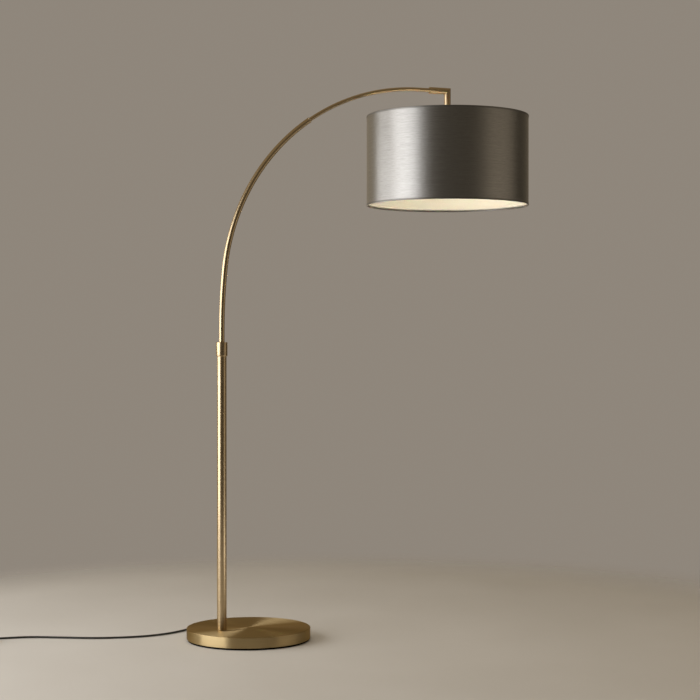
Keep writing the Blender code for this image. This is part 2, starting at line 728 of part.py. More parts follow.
def wire_ring(name, height, look):
    """A closed wire hoop just inside the liner."""
    radius = SHADE_RADIUS - FABRIC_WALL - GAP - LINER_WALL - GAP - WIRE_RADIUS - 0.0004
    bpy.ops.mesh.primitive_torus_add(major_radius=radius, minor_radius=WIRE_RADIUS,
                                     major_segments=STEPS_SHADE, minor_segments=8,
                                     location=SHADE_AXIS + Vector((0.0, 0.0, height)))
    hoop = bpy.context.active_object
    hoop.name = name
    for collection in list(hoop.users_collection):
        collection.objects.unlink(hoop)
    parts.objects.link(hoop)
    hoop.data.materials.append(material(name, look))
    return hoop, radius


def make_shade_frame():
    """The top hoop, its three spokes and their hub, welded into one spider."""
    hoop_height = SHADE_TOP - TRIM_HEIGHT - WIRE_RADIUS - 0.0006
    hoop, radius = wire_ring("shade_spider", hoop_height, STEEL)
    hub_top = DROP_END - GAP
    hub = ring("spider_hub", HUB_RADIUS, NIPPLE_RADIUS + GAP, hub_top, hub_top - HUB_WALL, STEEL, SHADE_AXIS)
    welded = [hub]
    for index in range(SPOKE_COUNT):
        turn = index * 2 * math.pi / SPOKE_COUNT
        outward = Vector((math.cos(turn), math.sin(turn), 0.0))
        heights = [
            (HUB_RADIUS - 0.004, hub_top - HUB_WALL / 2),
            (HUB_RADIUS + 0.020, hub_top - HUB_WALL / 2),
            (HUB_RADIUS + 0.036, hub_top + 0.004),
            (radius - 0.050, hoop_height - 0.001),
            (radius - 0.030, hoop_height),
            (radius, hoop_height),
        ]
        points = [SHADE_AXIS + outward * reach + Vector((0.0, 0.0, height)) for reach, height in heights]
        welded.append(bake(curve_object("spoke_%d" % (index + 1), points, WIRE_RADIUS - 0.0002, STEEL)))
    join_by_union(hoop, welded)
    wire_ring("shade_hoop_lower", SHADE_BOTTOM + TRIM_HEIGHT + WIRE_RADIUS + 0.0006, STEEL)


# ---------------------------------------------------------------- lampholder and bulb
def make_lampholder():
    """Cap, outer shell, insulating block, screw shell and centre contact."""
    wall = HOLDER_WALL
    cap = [
        (0.0060, CAP_TOP), (0.0090, CAP_TOP), (0.0130, CAP_TOP - 0.004), (0.0155, CAP_TOP - 0.010),
        (HOLDER_RADIUS, CAP_TOP - 0.017), (HOLDER_RADIUS, CAP_BOTTOM), (HOLDER_RADIUS - wall, CAP_BOTTOM),
        (HOLDER_RADIUS - wall, CAP_TOP - 0.017), (0.0146, CAP_TOP - 0.0105), (0.0124, CAP_TOP - 0.0048),
        (0.0086, CAP_TOP - 0.0010), (NIPPLE_RADIUS + GAP, CAP_TOP - 0.0010), (NIPPLE_RADIUS + GAP, CAP_TOP),
    ]
    turned("lampholder_cap", cap, BRASS, SHADE_AXIS)
    shell_top = CAP_BOTTOM - GAP
    shell = ring("lampholder_shell", HOLDER_RADIUS, HOLDER_RADIUS - wall, shell_top, HOLDER_BOTTOM, BRASS,
                 SHADE_AXIS)
    middle = SHADE_AXIS + Vector((0.0, 0.0, KNOB_HEIGHT))
    slot = cylinder_mesh("knob_hole", 0.0030, middle - Vector((0.0, 0.013, 0.0)),
                         middle - Vector((0.0, 0.020, 0.0)))
    cut(shell, add_cutter("knob_hole", slot))
    block_top = shell_top - GAP
    block = disc("lampholder_block", 0.0150, block_top, block_top - INSULATOR_HEIGHT, PHENOLIC, SHADE_AXIS)
    socket = cylinder_mesh("knob_socket", 0.0026, middle - Vector((0.0, 0.008, 0.0)),
                           middle - Vector((0.0, 0.020, 0.0)))
    cut(block, add_cutter("knob_socket", socket))
    sleeve_top = block_top - INSULATOR_HEIGHT - GAP
    ring("lampholder_screw_shell", 0.0143, 0.0136, sleeve_top, HOLDER_BOTTOM + 0.002, BRASS, SHADE_AXIS)
    disc("centre_contact", 0.0040, sleeve_top, sleeve_top - 0.0012, BRASS, SHADE_AXIS, STEPS_SMALL, 0.0003)


def make_switch_knob():
    """The turn knob: a fluted grip on a short shaft out of the lampholder's side."""
    shaft_start = SHADE_AXIS + Vector((0.0, -0.0090, KNOB_HEIGHT))
    shaft_end = SHADE_AXIS + Vector((0.0, -0.0300, KNOB_HEIGHT))
    shaft = add_object("switch_knob", cylinder_mesh("switch_knob", 0.0022, shaft_start, shaft_end),
                       BLACK_PLASTIC)
    grip = box_mesh("knob_grip", (0.0042, 0.0120, 0.0130), (0.0, -0.0300, 0.0))
    paddle = add_object("knob_grip", grip, BLACK_PLASTIC, SHADE_AXIS + Vector((0.0, 0.0, KNOB_HEIGHT)))
    bevel = paddle.modifiers.new("round", "BEVEL")
    bevel.width = 0.0016
    bevel.segments = 3
    bevel.limit_method = "NONE"
    join_by_union(shaft, [bake(paddle)])


def bulb_outline(offset):
    """The bulb's outer profile, moved inwards by an offset: neck, shoulder, round end."""
    centre = BULB_BOTTOM + BULB_RADIUS
    points = [(0.0118 - offset, BULB_CAP_BOTTOM + 0.004), (0.0125 - offset, BULB_CAP_BOTTOM - 0.002),
              (0.0150 - offset, BULB_CAP_BOTTOM - 0.014), (0.0215 - offset, BULB_CAP_BOTTOM - 0.028)]
    for degrees in (22, 5, -12, -30, -48, -66, -80):
        angle = math.radians(degrees)
        radius = BULB_RADIUS - offset
        points.append((radius * math.cos(angle), centre + radius * math.sin(angle)))
    points.append((0.0, centre - BULB_RADIUS + offset))
    return points


def make_bulb():
    """An opal glass envelope in a screw cap with an insulated tip."""
    outside = bulb_outline(0.0)
    inside = bulb_outline(GLASS_WALL)
    profile = outside + inside[::-1]
    glass = turned("bulb_glass", profile, OPAL_GLASS, SHADE_AXIS)
    flatten_axis(glass)
    radius = BULB_CAP_RADIUS
    cap = [(0.0045, BULB_CAP_TOP - 0.002), (0.0080, BULB_CAP_TOP - 0.0030)]
    thread_top = BULB_CAP_TOP - 0.0055
    for turn in range(4):
        crest = thread_top - turn * 0.0036
        cap += [(radius - 0.0009, crest), (radius, crest - 0.0018)]
    cap += [(radius - 0.0009, BULB_CAP_BOTTOM + 0.0035), (radius, BULB_CAP_BOTTOM),
            (radius - 0.0005, BULB_CAP_BOTTOM), (radius - 0.0007, BULB_CAP_BOTTOM + 0.0060),
            (radius - 0.0014, thread_top - 0.002), (0.0075, BULB_CAP_TOP - 0.0036),
            (0.0045, BULB_CAP_TOP - 0.0026)]
    turned("bulb_cap", cap, STEEL, SHADE_AXIS, steps=STEPS_SMALL)
    disc("bulb_tip", 0.0042, BULB_CAP_TOP, BULB_CAP_TOP - 0.004, BLACK_PLASTIC, SHADE_AXIS, STEPS_SMALL, 0.001)


def flatten_axis(thing):
    """Merge the turned points that meet on the axis."""
    work = bmesh.new()
    work.from_mesh(thing.data)
    bmesh.ops.remove_doubles(work, verts=work.verts, dist=0.00002)
    bmesh.ops.dissolve_degenerate(work, edges=work.edges, dist=0.00001)
    work.to_mesh(thing.data)
    work.free()


def make_arm_lead():
    """The lead from the pole, through the arm and the elbow, into the lampholder's cap."""
    points = [Vector((0.0, 0.0, LEAD_TOP + GAP))]
    points += lower_tube_line(BEND_START - 0.05)[:-2]
    points += upper_tube_line(SLEEVE_START + 0.050)
    bend = 0.009
    centre = Vector((REACH - bend, 0.0, ARM_TOP - bend))
    for angle in angle_steps(0.0, math.pi / 2, math.radians(18)):
        points.append(centre + Vector((bend * math.sin(angle), 0.0, bend * math.cos(angle))))
    points.append(Vector((REACH, 0.0, NIPPLE_BOTTOM - 0.004)))
    curve_object("arm_lead", from_pole(points), ARM_LEAD_RADIUS, BLACK_RUBBER)


# ---------------------------------------------------------------- mains cord and plug
def rear_bend(start):
    """Points of the cord behind the base: straight out, then round to the left and down to the floor."""
    x, y, _ = start
    heading = EXIT_ANGLE
    points = []
    for stride in range(STRAIGHT_STRIDES + TURNING_STRIDES):
        turning = stride - STRAIGHT_STRIDES
        if turning >= 0:
            easing = 0.5 if turning in (0, TURNING_STRIDES - 1) else 1.0
            heading += REAR_TURN * easing / (TURNING_STRIDES - 1)
        x += BEND_STRIDE * math.cos(heading)
        y += BEND_STRIDE * math.sin(heading)
        share = min(1.0, BEND_STRIDE * (stride + 1) / LANDING)
        ease = share * share * (3 - 2 * share)
        points.append((x, y, EXIT_HEIGHT + (FLOOR_LEVEL - EXIT_HEIGHT) * ease))
    return points


def make_mains_cord():
    """The free cord: a tube to the coil, the coil's outer shape, and a short tail to the plug."""
    route = [CORD_START] + rear_bend(CORD_START) + CORD_ROUTE
    curve_object("mains_cord", smooth_points(route, CORD_POINT_STEP), CORD_RADIUS, BLACK_RUBBER)
    outer = COIL_RADIUS + CORD_RADIUS + 0.0003
    inner = COIL_RADIUS - CORD_RADIUS - 0.0003
    top = FLOOR_LEVEL + COIL_TURNS * COIL_PITCH + CORD_RADIUS
    ring("mains_cord_coil", outer, inner, top, 0.0002, BLACK_RUBBER, (COIL_X, COIL_Y, 0.0),
         steps=36, chamfer=0.002)
    curve_object("mains_cord_tail", smooth_points(TAIL_ROUTE, 0.012), CORD_RADIUS, BLACK_RUBBER)


def make_plug():
    """A flat moulded two-blade plug at the tail's end, with its blades."""
    tail_end = Vector(TAIL_ROUTE[-1])
    forward = Vector((0.0, -1.0, 0.0))
    start = tail_end + forward * GAP
    stations = [
        (0.0035, 0.0), (0.0052, PLUG_RELIEF), (0.0095, PLUG_RELIEF + 0.005),
        (PLUG_HALF_WIDTH, PLUG_RELIEF + 0.012), (PLUG_HALF_WIDTH, PLUG_RELIEF + PLUG_LENGTH - 0.002),
        (PLUG_HALF_WIDTH - 0.002, PLUG_RELIEF + PLUG_LENGTH),
    ]
    profile = [(0.0, stations[-1][1])] + [(radius, along) for radius, along in reversed(stations)]
    profile.append((0.0, 0.0))
    body = turned("plug_body", profile, BLACK_PLASTIC, steps=24, loop=False)
    squash = PLUG_HALF_HEIGHT / PLUG_HALF_WIDTH
    for vert in body.data.vertices:
        vert.co.y *= squash + (1 - squash) * max(0.0, 1 - vert.co.z / (PLUG_RELIEF + 0.005))
    body.matrix_world = Matrix.Translation(start) @ Matrix.Rotation(math.pi / 2, 4, "X")
    face = start + forward * (PLUG_RELIEF + PLUG_LENGTH + GAP)
    for name, side, half_height in (("plug_blade_neutral", -1, 0.0039), ("plug_blade_live", 1, 0.0032)):
        centre = face + Vector((side * BLADE_SPACING / 2, -BLADE_LENGTH / 2, 0.0))
        blade = add_object(name, box_mesh(name, (0.0015, BLADE_LENGTH, 2 * half_height), centre), BRASS)
        tip = centre + Vector((0.0, -BLADE_LENGTH / 2 + 0.004, 0.0))
        hole = cylinder_mesh(name + "_hole", 0.0016, tip - Vector((0.003, 0.0, 0.0)),
                             tip + Vector((0.003, 0.0, 0.0)), segments=16)
        cut(blade, add_cutter(name + "_hole", hole))


# ---------------------------------------------------------------- build
clear_scene()
parts = new_collection("arc_floor_lamp")
cutters = new_collection("cutters")

make_base_cover()
make_base_weight()
make_foot_pad()
make_anchor()
make_cord_bushing()
make_base_lead()
make_pole()
make_top_bush()
make_collet()
make_collar()
make_lower_tube()
make_glide()
make_upper_tube()
make_arm_ferrule()
grub_hole = make_elbow()
make_sleeve_bush(grub_hole)
make_elbow_screw()
make_drop_fittings()
make_shade_skins()
make_shade_trim("shade_trim_top", SHADE_TOP, -1)
make_shade_trim("shade_trim_bottom", SHADE_BOTTOM, 1)
make_shade_frame()
make_lampholder()
make_switch_knob()
make_bulb()
make_arm_lead()
make_mains_cord()
make_plug()
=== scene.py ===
"""Looks of the arc floor lamp: camera, light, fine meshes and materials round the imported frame."""

import json
import math

import bmesh
import bpy
from mathutils import Matrix, Vector


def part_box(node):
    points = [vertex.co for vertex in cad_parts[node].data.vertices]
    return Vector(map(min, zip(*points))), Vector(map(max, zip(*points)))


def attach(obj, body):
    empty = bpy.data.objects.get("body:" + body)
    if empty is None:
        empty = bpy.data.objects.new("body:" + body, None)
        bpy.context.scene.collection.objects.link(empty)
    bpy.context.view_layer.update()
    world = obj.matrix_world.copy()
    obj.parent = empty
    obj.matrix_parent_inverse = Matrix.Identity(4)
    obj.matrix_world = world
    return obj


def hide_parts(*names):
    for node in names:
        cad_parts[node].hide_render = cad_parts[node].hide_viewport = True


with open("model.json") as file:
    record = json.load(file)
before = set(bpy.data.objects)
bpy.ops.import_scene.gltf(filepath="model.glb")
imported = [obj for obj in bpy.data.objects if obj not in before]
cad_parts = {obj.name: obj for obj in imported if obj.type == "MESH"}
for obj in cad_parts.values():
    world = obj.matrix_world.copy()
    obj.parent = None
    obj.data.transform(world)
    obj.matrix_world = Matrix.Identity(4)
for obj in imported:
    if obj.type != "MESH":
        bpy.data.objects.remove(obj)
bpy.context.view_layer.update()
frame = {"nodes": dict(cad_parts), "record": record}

# ---------------------------------------------------------------- sizes and places
SIDES = 192                  # sides of wide round pieces
TUBE_SIDES = 72              # sides of tubes and small turned pieces
GAP = 0.0003
SHARP = math.radians(32)

POLE_LOW, POLE_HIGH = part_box("lower_pole")
POLE = Vector(((POLE_LOW.x + POLE_HIGH.x) / 2, (POLE_LOW.y + POLE_HIGH.y) / 2, 0.0))
SHADE_LOW, SHADE_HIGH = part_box("shade_fabric")
SHADE = Vector(((SHADE_LOW.x + SHADE_HIGH.x) / 2, (SHADE_LOW.y + SHADE_HIGH.y) / 2, 0.0))
SHADE_RADIUS = (SHADE_HIGH.x - SHADE_LOW.x) / 2

# the arm's bends, in the pole's own axes
BEND_START = 0.919
GENTLE_RADIUS = 1.88
GENTLE_ANGLE = math.radians(5.7)
MAIN_RADIUS = 0.632
JOINT_ANGLE = math.radians(55.0)
STUB_ANGLE = math.radians(1.5)
MAIN_CENTRE_X = GENTLE_RADIUS - (GENTLE_RADIUS - MAIN_RADIUS) * math.cos(GENTLE_ANGLE)
MAIN_CENTRE_Z = BEND_START + (GENTLE_RADIUS - MAIN_RADIUS) * math.sin(GENTLE_ANGLE)
ARM_TOP = MAIN_CENTRE_Z + MAIN_RADIUS
LOWER_TUBE_RADIUS = 0.00825
LOWER_TUBE_BORE = 0.00685
UPPER_TUBE_RADIUS = 0.0059
UPPER_TUBE_BORE = 0.0049

# the camera, and the directions that it gives the studio
VIEW_TURN = math.radians(22.0)
AWAY = Vector((math.sin(VIEW_TURN), math.cos(VIEW_TURN), 0.0))
RIGHT = Vector((math.cos(VIEW_TURN), -math.sin(VIEW_TURN), 0.0))
UP = Vector((0.0, 0.0, 1.0))
EYE_HEIGHT = 0.8815
POLE_DEPTH = 4.895
POLE_LEFT = 0.3798
FOCAL_LENGTH = 85.0
SENSOR_WIDTH = 36.0
DOWNWARD_TILT = math.radians(0.17)

# the mains cord's route
CORD_DIAMETER = 0.006
EXIT_ANGLE = math.radians(95.0)
EXIT_DIRECTION = Vector((math.cos(EXIT_ANGLE), math.sin(EXIT_ANGLE), 0.0))
EXIT_HEIGHT = 0.0135
RELIEF_LENGTH = 0.022
FLOOR_LEVEL = 0.0032
COIL_CENTRE = Vector((-0.760, 0.245, 0.0))
COIL_RADIUS = 0.033
COIL_PITCH = 0.0062
COIL_TURNS = 4.25
COIL_POINTS = 16
BEND_STRIDE = 0.0135         # the cord behind the base is laid in equal strides
STRAIGHT_STRIDES = 2
TURNING_STRIDES = 7
REAR_TURN = math.radians(130.0)
LANDING = 0.075              # length over which the cord comes down to the floor
PLUG_HALF_HEIGHT = 0.0078
CORD_ROUTE = [
    (-0.1150, 0.2270, FLOOR_LEVEL),
    (-0.1500, 0.2000, FLOOR_LEVEL),
    (-0.1938, 0.1743, FLOOR_LEVEL),
    (-0.2568, 0.1545, FLOOR_LEVEL),
    (-0.3317, 0.1534, FLOOR_LEVEL),
    (-0.4230, 0.1758, FLOOR_LEVEL),
    (-0.5102, 0.2202, FLOOR_LEVEL),
    (-0.6009, 0.2650, FLOOR_LEVEL),
    (-0.6900, 0.2775, FLOOR_LEVEL),
    (COIL_CENTRE.x + 0.0205, COIL_CENTRE.y + COIL_RADIUS, FLOOR_LEVEL),
]
TAIL_ROUTE = [
    (COIL_CENTRE.x - COIL_RADIUS, COIL_CENTRE.y - 0.0210, 0.0278),
    (COIL_CENTRE.x - COIL_RADIUS - 0.0015, COIL_CENTRE.y - 0.0450, 0.0205),
    (COIL_CENTRE.x - COIL_RADIUS - 0.0030, COIL_CENTRE.y - 0.0680, 0.0105),
    (COIL_CENTRE.x - COIL_RADIUS - 0.0030, COIL_CENTRE.y - 0.0900, PLUG_HALF_HEIGHT),
]


# ---------------------------------------------------------------- shape helpers
def smooth_line(points, pieces=8):
    """Points on a smooth curve through the given points."""
    knots = [Vector(point) for point in points]
    knots = [knots[0] * 2 - knots[1]] + knots + [knots[-1] * 2 - knots[-2]]
    line = []
    for before, start, end, after in zip(knots, knots[1:], knots[2:], knots[3:]):
        for index in range(pieces):
            t = index / pieces
            line.append(0.5 * (2 * start + (end - before) * t
                               + (2 * before - 5 * start + 4 * end - after) * t ** 2
                               + (3 * start - before - 3 * end + after) * t ** 3))
    line.append(knots[-2])
    return line


def rounded(profile, radius, closed=False, steps=4):
    """A profile of (radius, height) points with its corners rounded."""
    points = [Vector((point[0], point[1])) for point in profile]
    count = len(points)
    line = []
    for index, corner in enumerate(points):
        if not closed and index in (0, count - 1):
            line.append(corner)
            continue
        before = points[index - 1] - corner
        after = points[(index + 1) % count] - corner
        reach = min(radius, before.length * 0.49, after.length * 0.49)
        start = corner + before.normalized() * reach
        end = corner + after.normalized() * reach
        for step in range(steps + 1):
            t = step / steps
            line.append(start * (1 - t) ** 2 + corner * (2 * t * (1 - t)) + end * t ** 2)
    return line


def blunt(value, power):
    """A sine or cosine raised to a power with its sign kept: a low power squares a ring's corners."""
    return math.copysign(abs(value) ** power, value)


def skin(name, rings, loop=False, around=1.0):
    """A mesh through rings of points, with a map in metres: around the ring, and along it."""
    work = bmesh.new()
    layer = work.loops.layers.uv.new("surface")
    rows = []
    travelled = [0.0]
    for index, ring in enumerate(rings):
        single = (ring[0] - ring[len(ring) // 2]).length < 1e-7
        rows.append([work.verts.new(point) for point in (ring[:1] if single else ring)])
        if index:
            travelled.append(travelled[-1] + (ring[0] - rings[index - 1][0]).length)
    spans = [(index, index + 1) for index in range(len(rows) - 1)]
    if loop:
        spans.append((len(rows) - 1, 0))
        travelled.append(travelled[-1] + (rings[0][0] - rings[-1][0]).length)
    count = max(len(row) for row in rows)
    for number, (first, second) in enumerate(spans):
        upper = rows[first]
        lower = rows[second]
        for side in range(count):
            following = (side + 1) % count
            corners = []
            for row, spot, place in ((upper, side, 0), (upper, following, 0),
                                     (lower, following, 1), (lower, side, 1)):
                vert = row[spot] if len(row) > 1 else row[0]
                edge = side + 1 if spot == following else side
                if vert not in [known for known, _ in corners]:
                    corners.append((vert, (around * edge / count, travelled[number + place])))
            if len(corners) < 3:
                continue
            face = work.faces.new([vert for vert, _ in corners])
            for corner, (_, place) in zip(face.loops, corners):
                corner[layer].uv = place
    bmesh.ops.recalc_face_normals(work, faces=work.faces)
    mesh = bpy.data.meshes.new(name)
    work.to_mesh(mesh)
    work.free()
    mesh.shade_smooth()
    mesh.set_sharp_from_angle(angle=SHARP)
    made = bpy.data.objects.new(name, mesh)
    bpy.context.scene.collection.objects.link(made)
    return made


def lathe(name, profile, centre=(0.0, 0.0, 0.0), sides=TUBE_SIDES, loop=False, place=None):
    """A turned piece from (radius, height) points, top to bottom down its outer side."""
    centre = Vector(centre)
    rings = []
    for radius, height in profile:
        ring = []
        for side in range(sides):
            angle = 2 * math.pi * side / sides
            point = Vector((radius * math.cos(angle), radius * math.sin(angle), height))
            ring.append(place @ point if place else centre + point)
        rings.append(ring)
    widest = max(radius for radius, _ in profile)
    return skin(name, rings, loop, around=2 * math.pi * widest)


def pipe(name, points, radius, bore):
    """A hollow tube along a line that lies in the arm's upright plane."""
    across = Vector((0.0, 1.0, 0.0))
    rings = []
    for size in (radius, bore):
        row = []
        for index, point in enumerate(points):
            before = points[max(0, index - 1)]
            after = points[min(len(points) - 1, index + 1)]
            normal = (after - before).normalized().cross(across)
            row.append([point + across * (size * math.cos(2 * math.pi * side / TUBE_SIDES))
                        + normal * (size * math.sin(2 * math.pi * side / TUBE_SIDES))
                        for side in range(TUBE_SIDES)])
        rings += row if size == radius else row[::-1]
    return skin(name, rings, loop=True, around=2 * math.pi * radius)


def wire(name, lines, radius, closed=(), resolution=6):
    """A curve object of round wire; closed names the lines that are hoops."""
    data = bpy.data.curves.new(name, "CURVE")
    data.dimensions = "3D"
    data.bevel_depth = radius
    data.bevel_resolution = resolution
    data.use_fill_caps = True
    for number, line in enumerate(lines):
        spline = data.splines.new("POLY")
        spline.points.add(len(line) - 1)
        for slot, point in zip(spline.points, line):
            slot.co = (*point, 1.0)
        spline.use_cyclic_u = number in closed
        spline.use_smooth = True
    made = bpy.data.objects.new(name, data)
    bpy.context.scene.collection.objects.link(made)
    return made


def along(direction, place):
    """The matrix that lays a piece made about +Z along a direction."""
    turn = Vector(direction).to_track_quat("Z", "X").to_matrix().to_4x4()
    return Matrix.Translation(place) @ turn


def dress(made, look, slot, body, *nodes):
    """Give a piece its material and the body that carries it, and hide the nodes that it stands for; slot
    is not used.
    """
    made.data.materials.clear()
    made.data.materials.append(look)
    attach(made, body)
    if nodes:
        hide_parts(*nodes)
    return made


# ---------------------------------------------------------------- camera and cord
def make_camera():
    """A level camera with a long lens, turned so that the arm points to the right and away."""
    data = bpy.data.cameras.new("camera")
    data.lens = FOCAL_LENGTH
    data.sensor_width = SENSOR_WIDTH
    data.clip_end = 60.0
    camera = bpy.data.objects.new("camera", data)
    bpy.context.scene.collection.objects.link(camera)
    camera.location = POLE + RIGHT * POLE_LEFT - AWAY * POLE_DEPTH + UP * EYE_HEIGHT
    camera.rotation_euler = (math.pi / 2 - DOWNWARD_TILT, 0.0, -VIEW_TURN)
    bpy.context.scene.camera = camera
    bpy.context.scene.view_settings.view_transform = "Standard"


def rear_bend(start):
    """Points of the cord behind the base: straight out, then round to the left and down to the floor."""
    x, y, _ = start
    heading = EXIT_ANGLE
    points = []
    for stride in range(STRAIGHT_STRIDES + TURNING_STRIDES):
        turning = stride - STRAIGHT_STRIDES
        if turning >= 0:
            easing = 0.5 if turning in (0, TURNING_STRIDES - 1) else 1.0
            heading += REAR_TURN * easing / (TURNING_STRIDES - 1)
        x += BEND_STRIDE * math.cos(heading)
        y += BEND_STRIDE * math.sin(heading)
        share = min(1.0, BEND_STRIDE * (stride + 1) / LANDING)
        ease = share * share * (3 - 2 * share)
        points.append((x, y, EXIT_HEIGHT + (FLOOR_LEVEL - EXIT_HEIGHT) * ease))
    return points


def cord_line():
    """The whole cord: from the strain relief over the floor, round the coil and on to the plug."""
    base_radius = (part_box("base_cover")[1].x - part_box("base_cover")[0].x) / 2
    start = EXIT_DIRECTION * (base_radius + RELIEF_LENGTH + GAP) + UP * EXIT_HEIGHT
    points = [start] + [Vector(point) for point in rear_bend(start) + CORD_ROUTE]
    steps = round(COIL_TURNS * COIL_POINTS)
    for index in range(steps + 1):
        turned = 2 * math.pi * index / COIL_POINTS
        angle = math.pi / 2 + turned
        height = FLOOR_LEVEL + COIL_PITCH * index / COIL_POINTS
        spot = Vector((COIL_RADIUS * math.cos(angle), COIL_RADIUS * math.sin(angle), height))
        points.append(COIL_CENTRE + spot)
    return points + [Vector(point) for point in TAIL_ROUTE]


def make_cord(look):
    """The free mains cord as one smooth curve."""
    points = cord_line()
    cord = wire("mains_cord_flex", [smooth_line(points, 5)], CORD_DIAMETER / 2, resolution=5)
    dress(cord, look, "black_pvc", "base", "mains_cord", "mains_cord_coil", "mains_cord_tail")
    tie = make_tie(look)


def make_tie(look):
    """The flat strap that holds the coil's turns together, on the side away from the cord's end."""
    half_width = 0.0045
    thick = 0.0006
    squareness = 0.35
    bearing = math.radians(-35.0)
    side = Vector((math.cos(bearing), math.sin(bearing), 0.0))
    across = Vector((-side.y, side.x, 0.0))
    reach = CORD_DIAMETER / 2 + 0.0003
    top = FLOOR_LEVEL + COIL_PITCH * (COIL_TURNS - 0.2) + reach
    middle = (top + 0.0004) / 2
    half_height = middle - 0.0004
    rings = []
    for row, inset in ((-half_width, 0.0), (half_width, 0.0), (half_width, thick), (-half_width, thick)):
        ring = []
        for step in range(64):
            angle = 2 * math.pi * step / 64
            outward = blunt(math.cos(angle), squareness) * (reach + inset)
            upward = blunt(math.sin(angle), squareness) * (half_height - thick + inset)
            place = COIL_CENTRE + side * (COIL_RADIUS + outward) + UP * (middle + upward)
            ring.append(place + across * row)
        rings.append(ring)
    strap = skin("cord_tie", rings, loop=True, around=2 * math.pi * half_height)
    return dress(strap, look, "black_pvc", "base")


# ---------------------------------------------------------------- materials
def add(tree, kind, inputs=None, **settings):
    """Add a shader node; an input is a value or another node's output."""
    made = tree.nodes.new(kind)
    for name, value in settings.items():
        setattr(made, name, value)
    for name, value in (inputs or {}).items():
        if isinstance(value, bpy.types.NodeSocket):
            tree.links.new(value, made.inputs[name])
        else:
            made.inputs[name].default_value = value
    return made


def new_look(name, **sockets):
    """A Principled material with plain values on its sockets."""
    look = bpy.data.materials.new(name)
    look.use_nodes = True
    tree = look.node_tree
    shader = tree.nodes["Principled BSDF"]
    for socket, value in sockets.items():
        shader.inputs[socket.replace("_", " ")].default_value = value
    return look, tree, shader


def plug_in(tree, shader, **links):
    """Link outputs to the shader's named sockets."""
    for socket, output in links.items():
        tree.links.new(output, shader.inputs[socket.replace("_", " ")])


def tint(color, factor):
    """A colour made lighter or darker."""
    return (color[0] * factor, color[1] * factor, color[2] * factor, 1.0)


def blend_colors(tree, amount, first, second):
    """A mix of two colours by a varying amount."""
    mixer = add(tree, "ShaderNodeMix", data_type="RGBA")
    tree.links.new(amount, mixer.inputs[0])
    mixer.inputs[6].default_value = first
    mixer.inputs[7].default_value = second
    return mixer.outputs[2]


def spread(tree, value, low, high, start=0.3, end=0.7):
    """A value stretched from start..end to low..high."""
    return add(tree, "ShaderNodeMapRange", {"Value": value, "From Min": start, "From Max": end,
                                            "To Min": low, "To Max": high}).outputs["Result"]


def noise_on(tree, vector, scale, detail=4.0, roughness=0.55):
    """Fractal noise over a surface."""
    return add(tree, "ShaderNodeTexNoise", {"Vector": vector, "Scale": scale, "Detail": detail,
                                            "Roughness": roughness}).outputs["Fac"]


def stretched(tree, source, scale):
    """Coordinates scaled along each axis."""
    return add(tree, "ShaderNodeMapping", {"Vector": source, "Scale": scale}).outputs["Vector"]


def brushed_brass(name, color, roughness, anisotropy, grooves):
    """Brass with fine turned grooves round the piece, soft patina clouds and a thin lacquer."""
    look, tree, shader = new_look(name, Metallic=1.0, Anisotropic=anisotropy, Anisotropic_Rotation=0.25,
                                  Specular_Tint=(0.72, 0.60, 0.42, 1.0), Coat_Weight=0.03,
                                  Coat_Roughness=0.2)
    surface = add(tree, "ShaderNodeTexCoord")
    lines = noise_on(tree, stretched(tree, surface.outputs["UV"], (9.0, grooves, 1.0)), 1.0, 3.0)
    clouds = noise_on(tree, surface.outputs["Object"], 9.0, 5.0)
    grain = blend_colors(tree, spread(tree, lines, 0.0, 1.0), tint(color, 0.90), tint(color, 1.10))
    patina = add(tree, "ShaderNodeMix", {"Factor": spread(tree, clouds, 0.0, 0.20)}, data_type="RGBA",
                 blend_type="MULTIPLY")
    tree.links.new(grain, patina.inputs[6])
    patina.inputs[7].default_value = (0.62, 0.52, 0.38, 1.0)
    worn = add(tree, "ShaderNodeMath", {0: spread(tree, lines, roughness - 0.025, roughness + 0.025),
                                        1: spread(tree, clouds, -0.015, 0.03)}, operation="ADD")
    bump = add(tree, "ShaderNodeBump", {"Height": lines, "Strength": 0.10, "Distance": 0.00002})
    tangent = add(tree, "ShaderNodeTangent", direction_type="UV_MAP", uv_map="surface")
    plug_in(tree, shader, Base_Color=patina.outputs[2], Roughness=worn.outputs[0],
            Normal=bump.outputs["Normal"], Tangent=tangent.outputs["Tangent"])
    return look


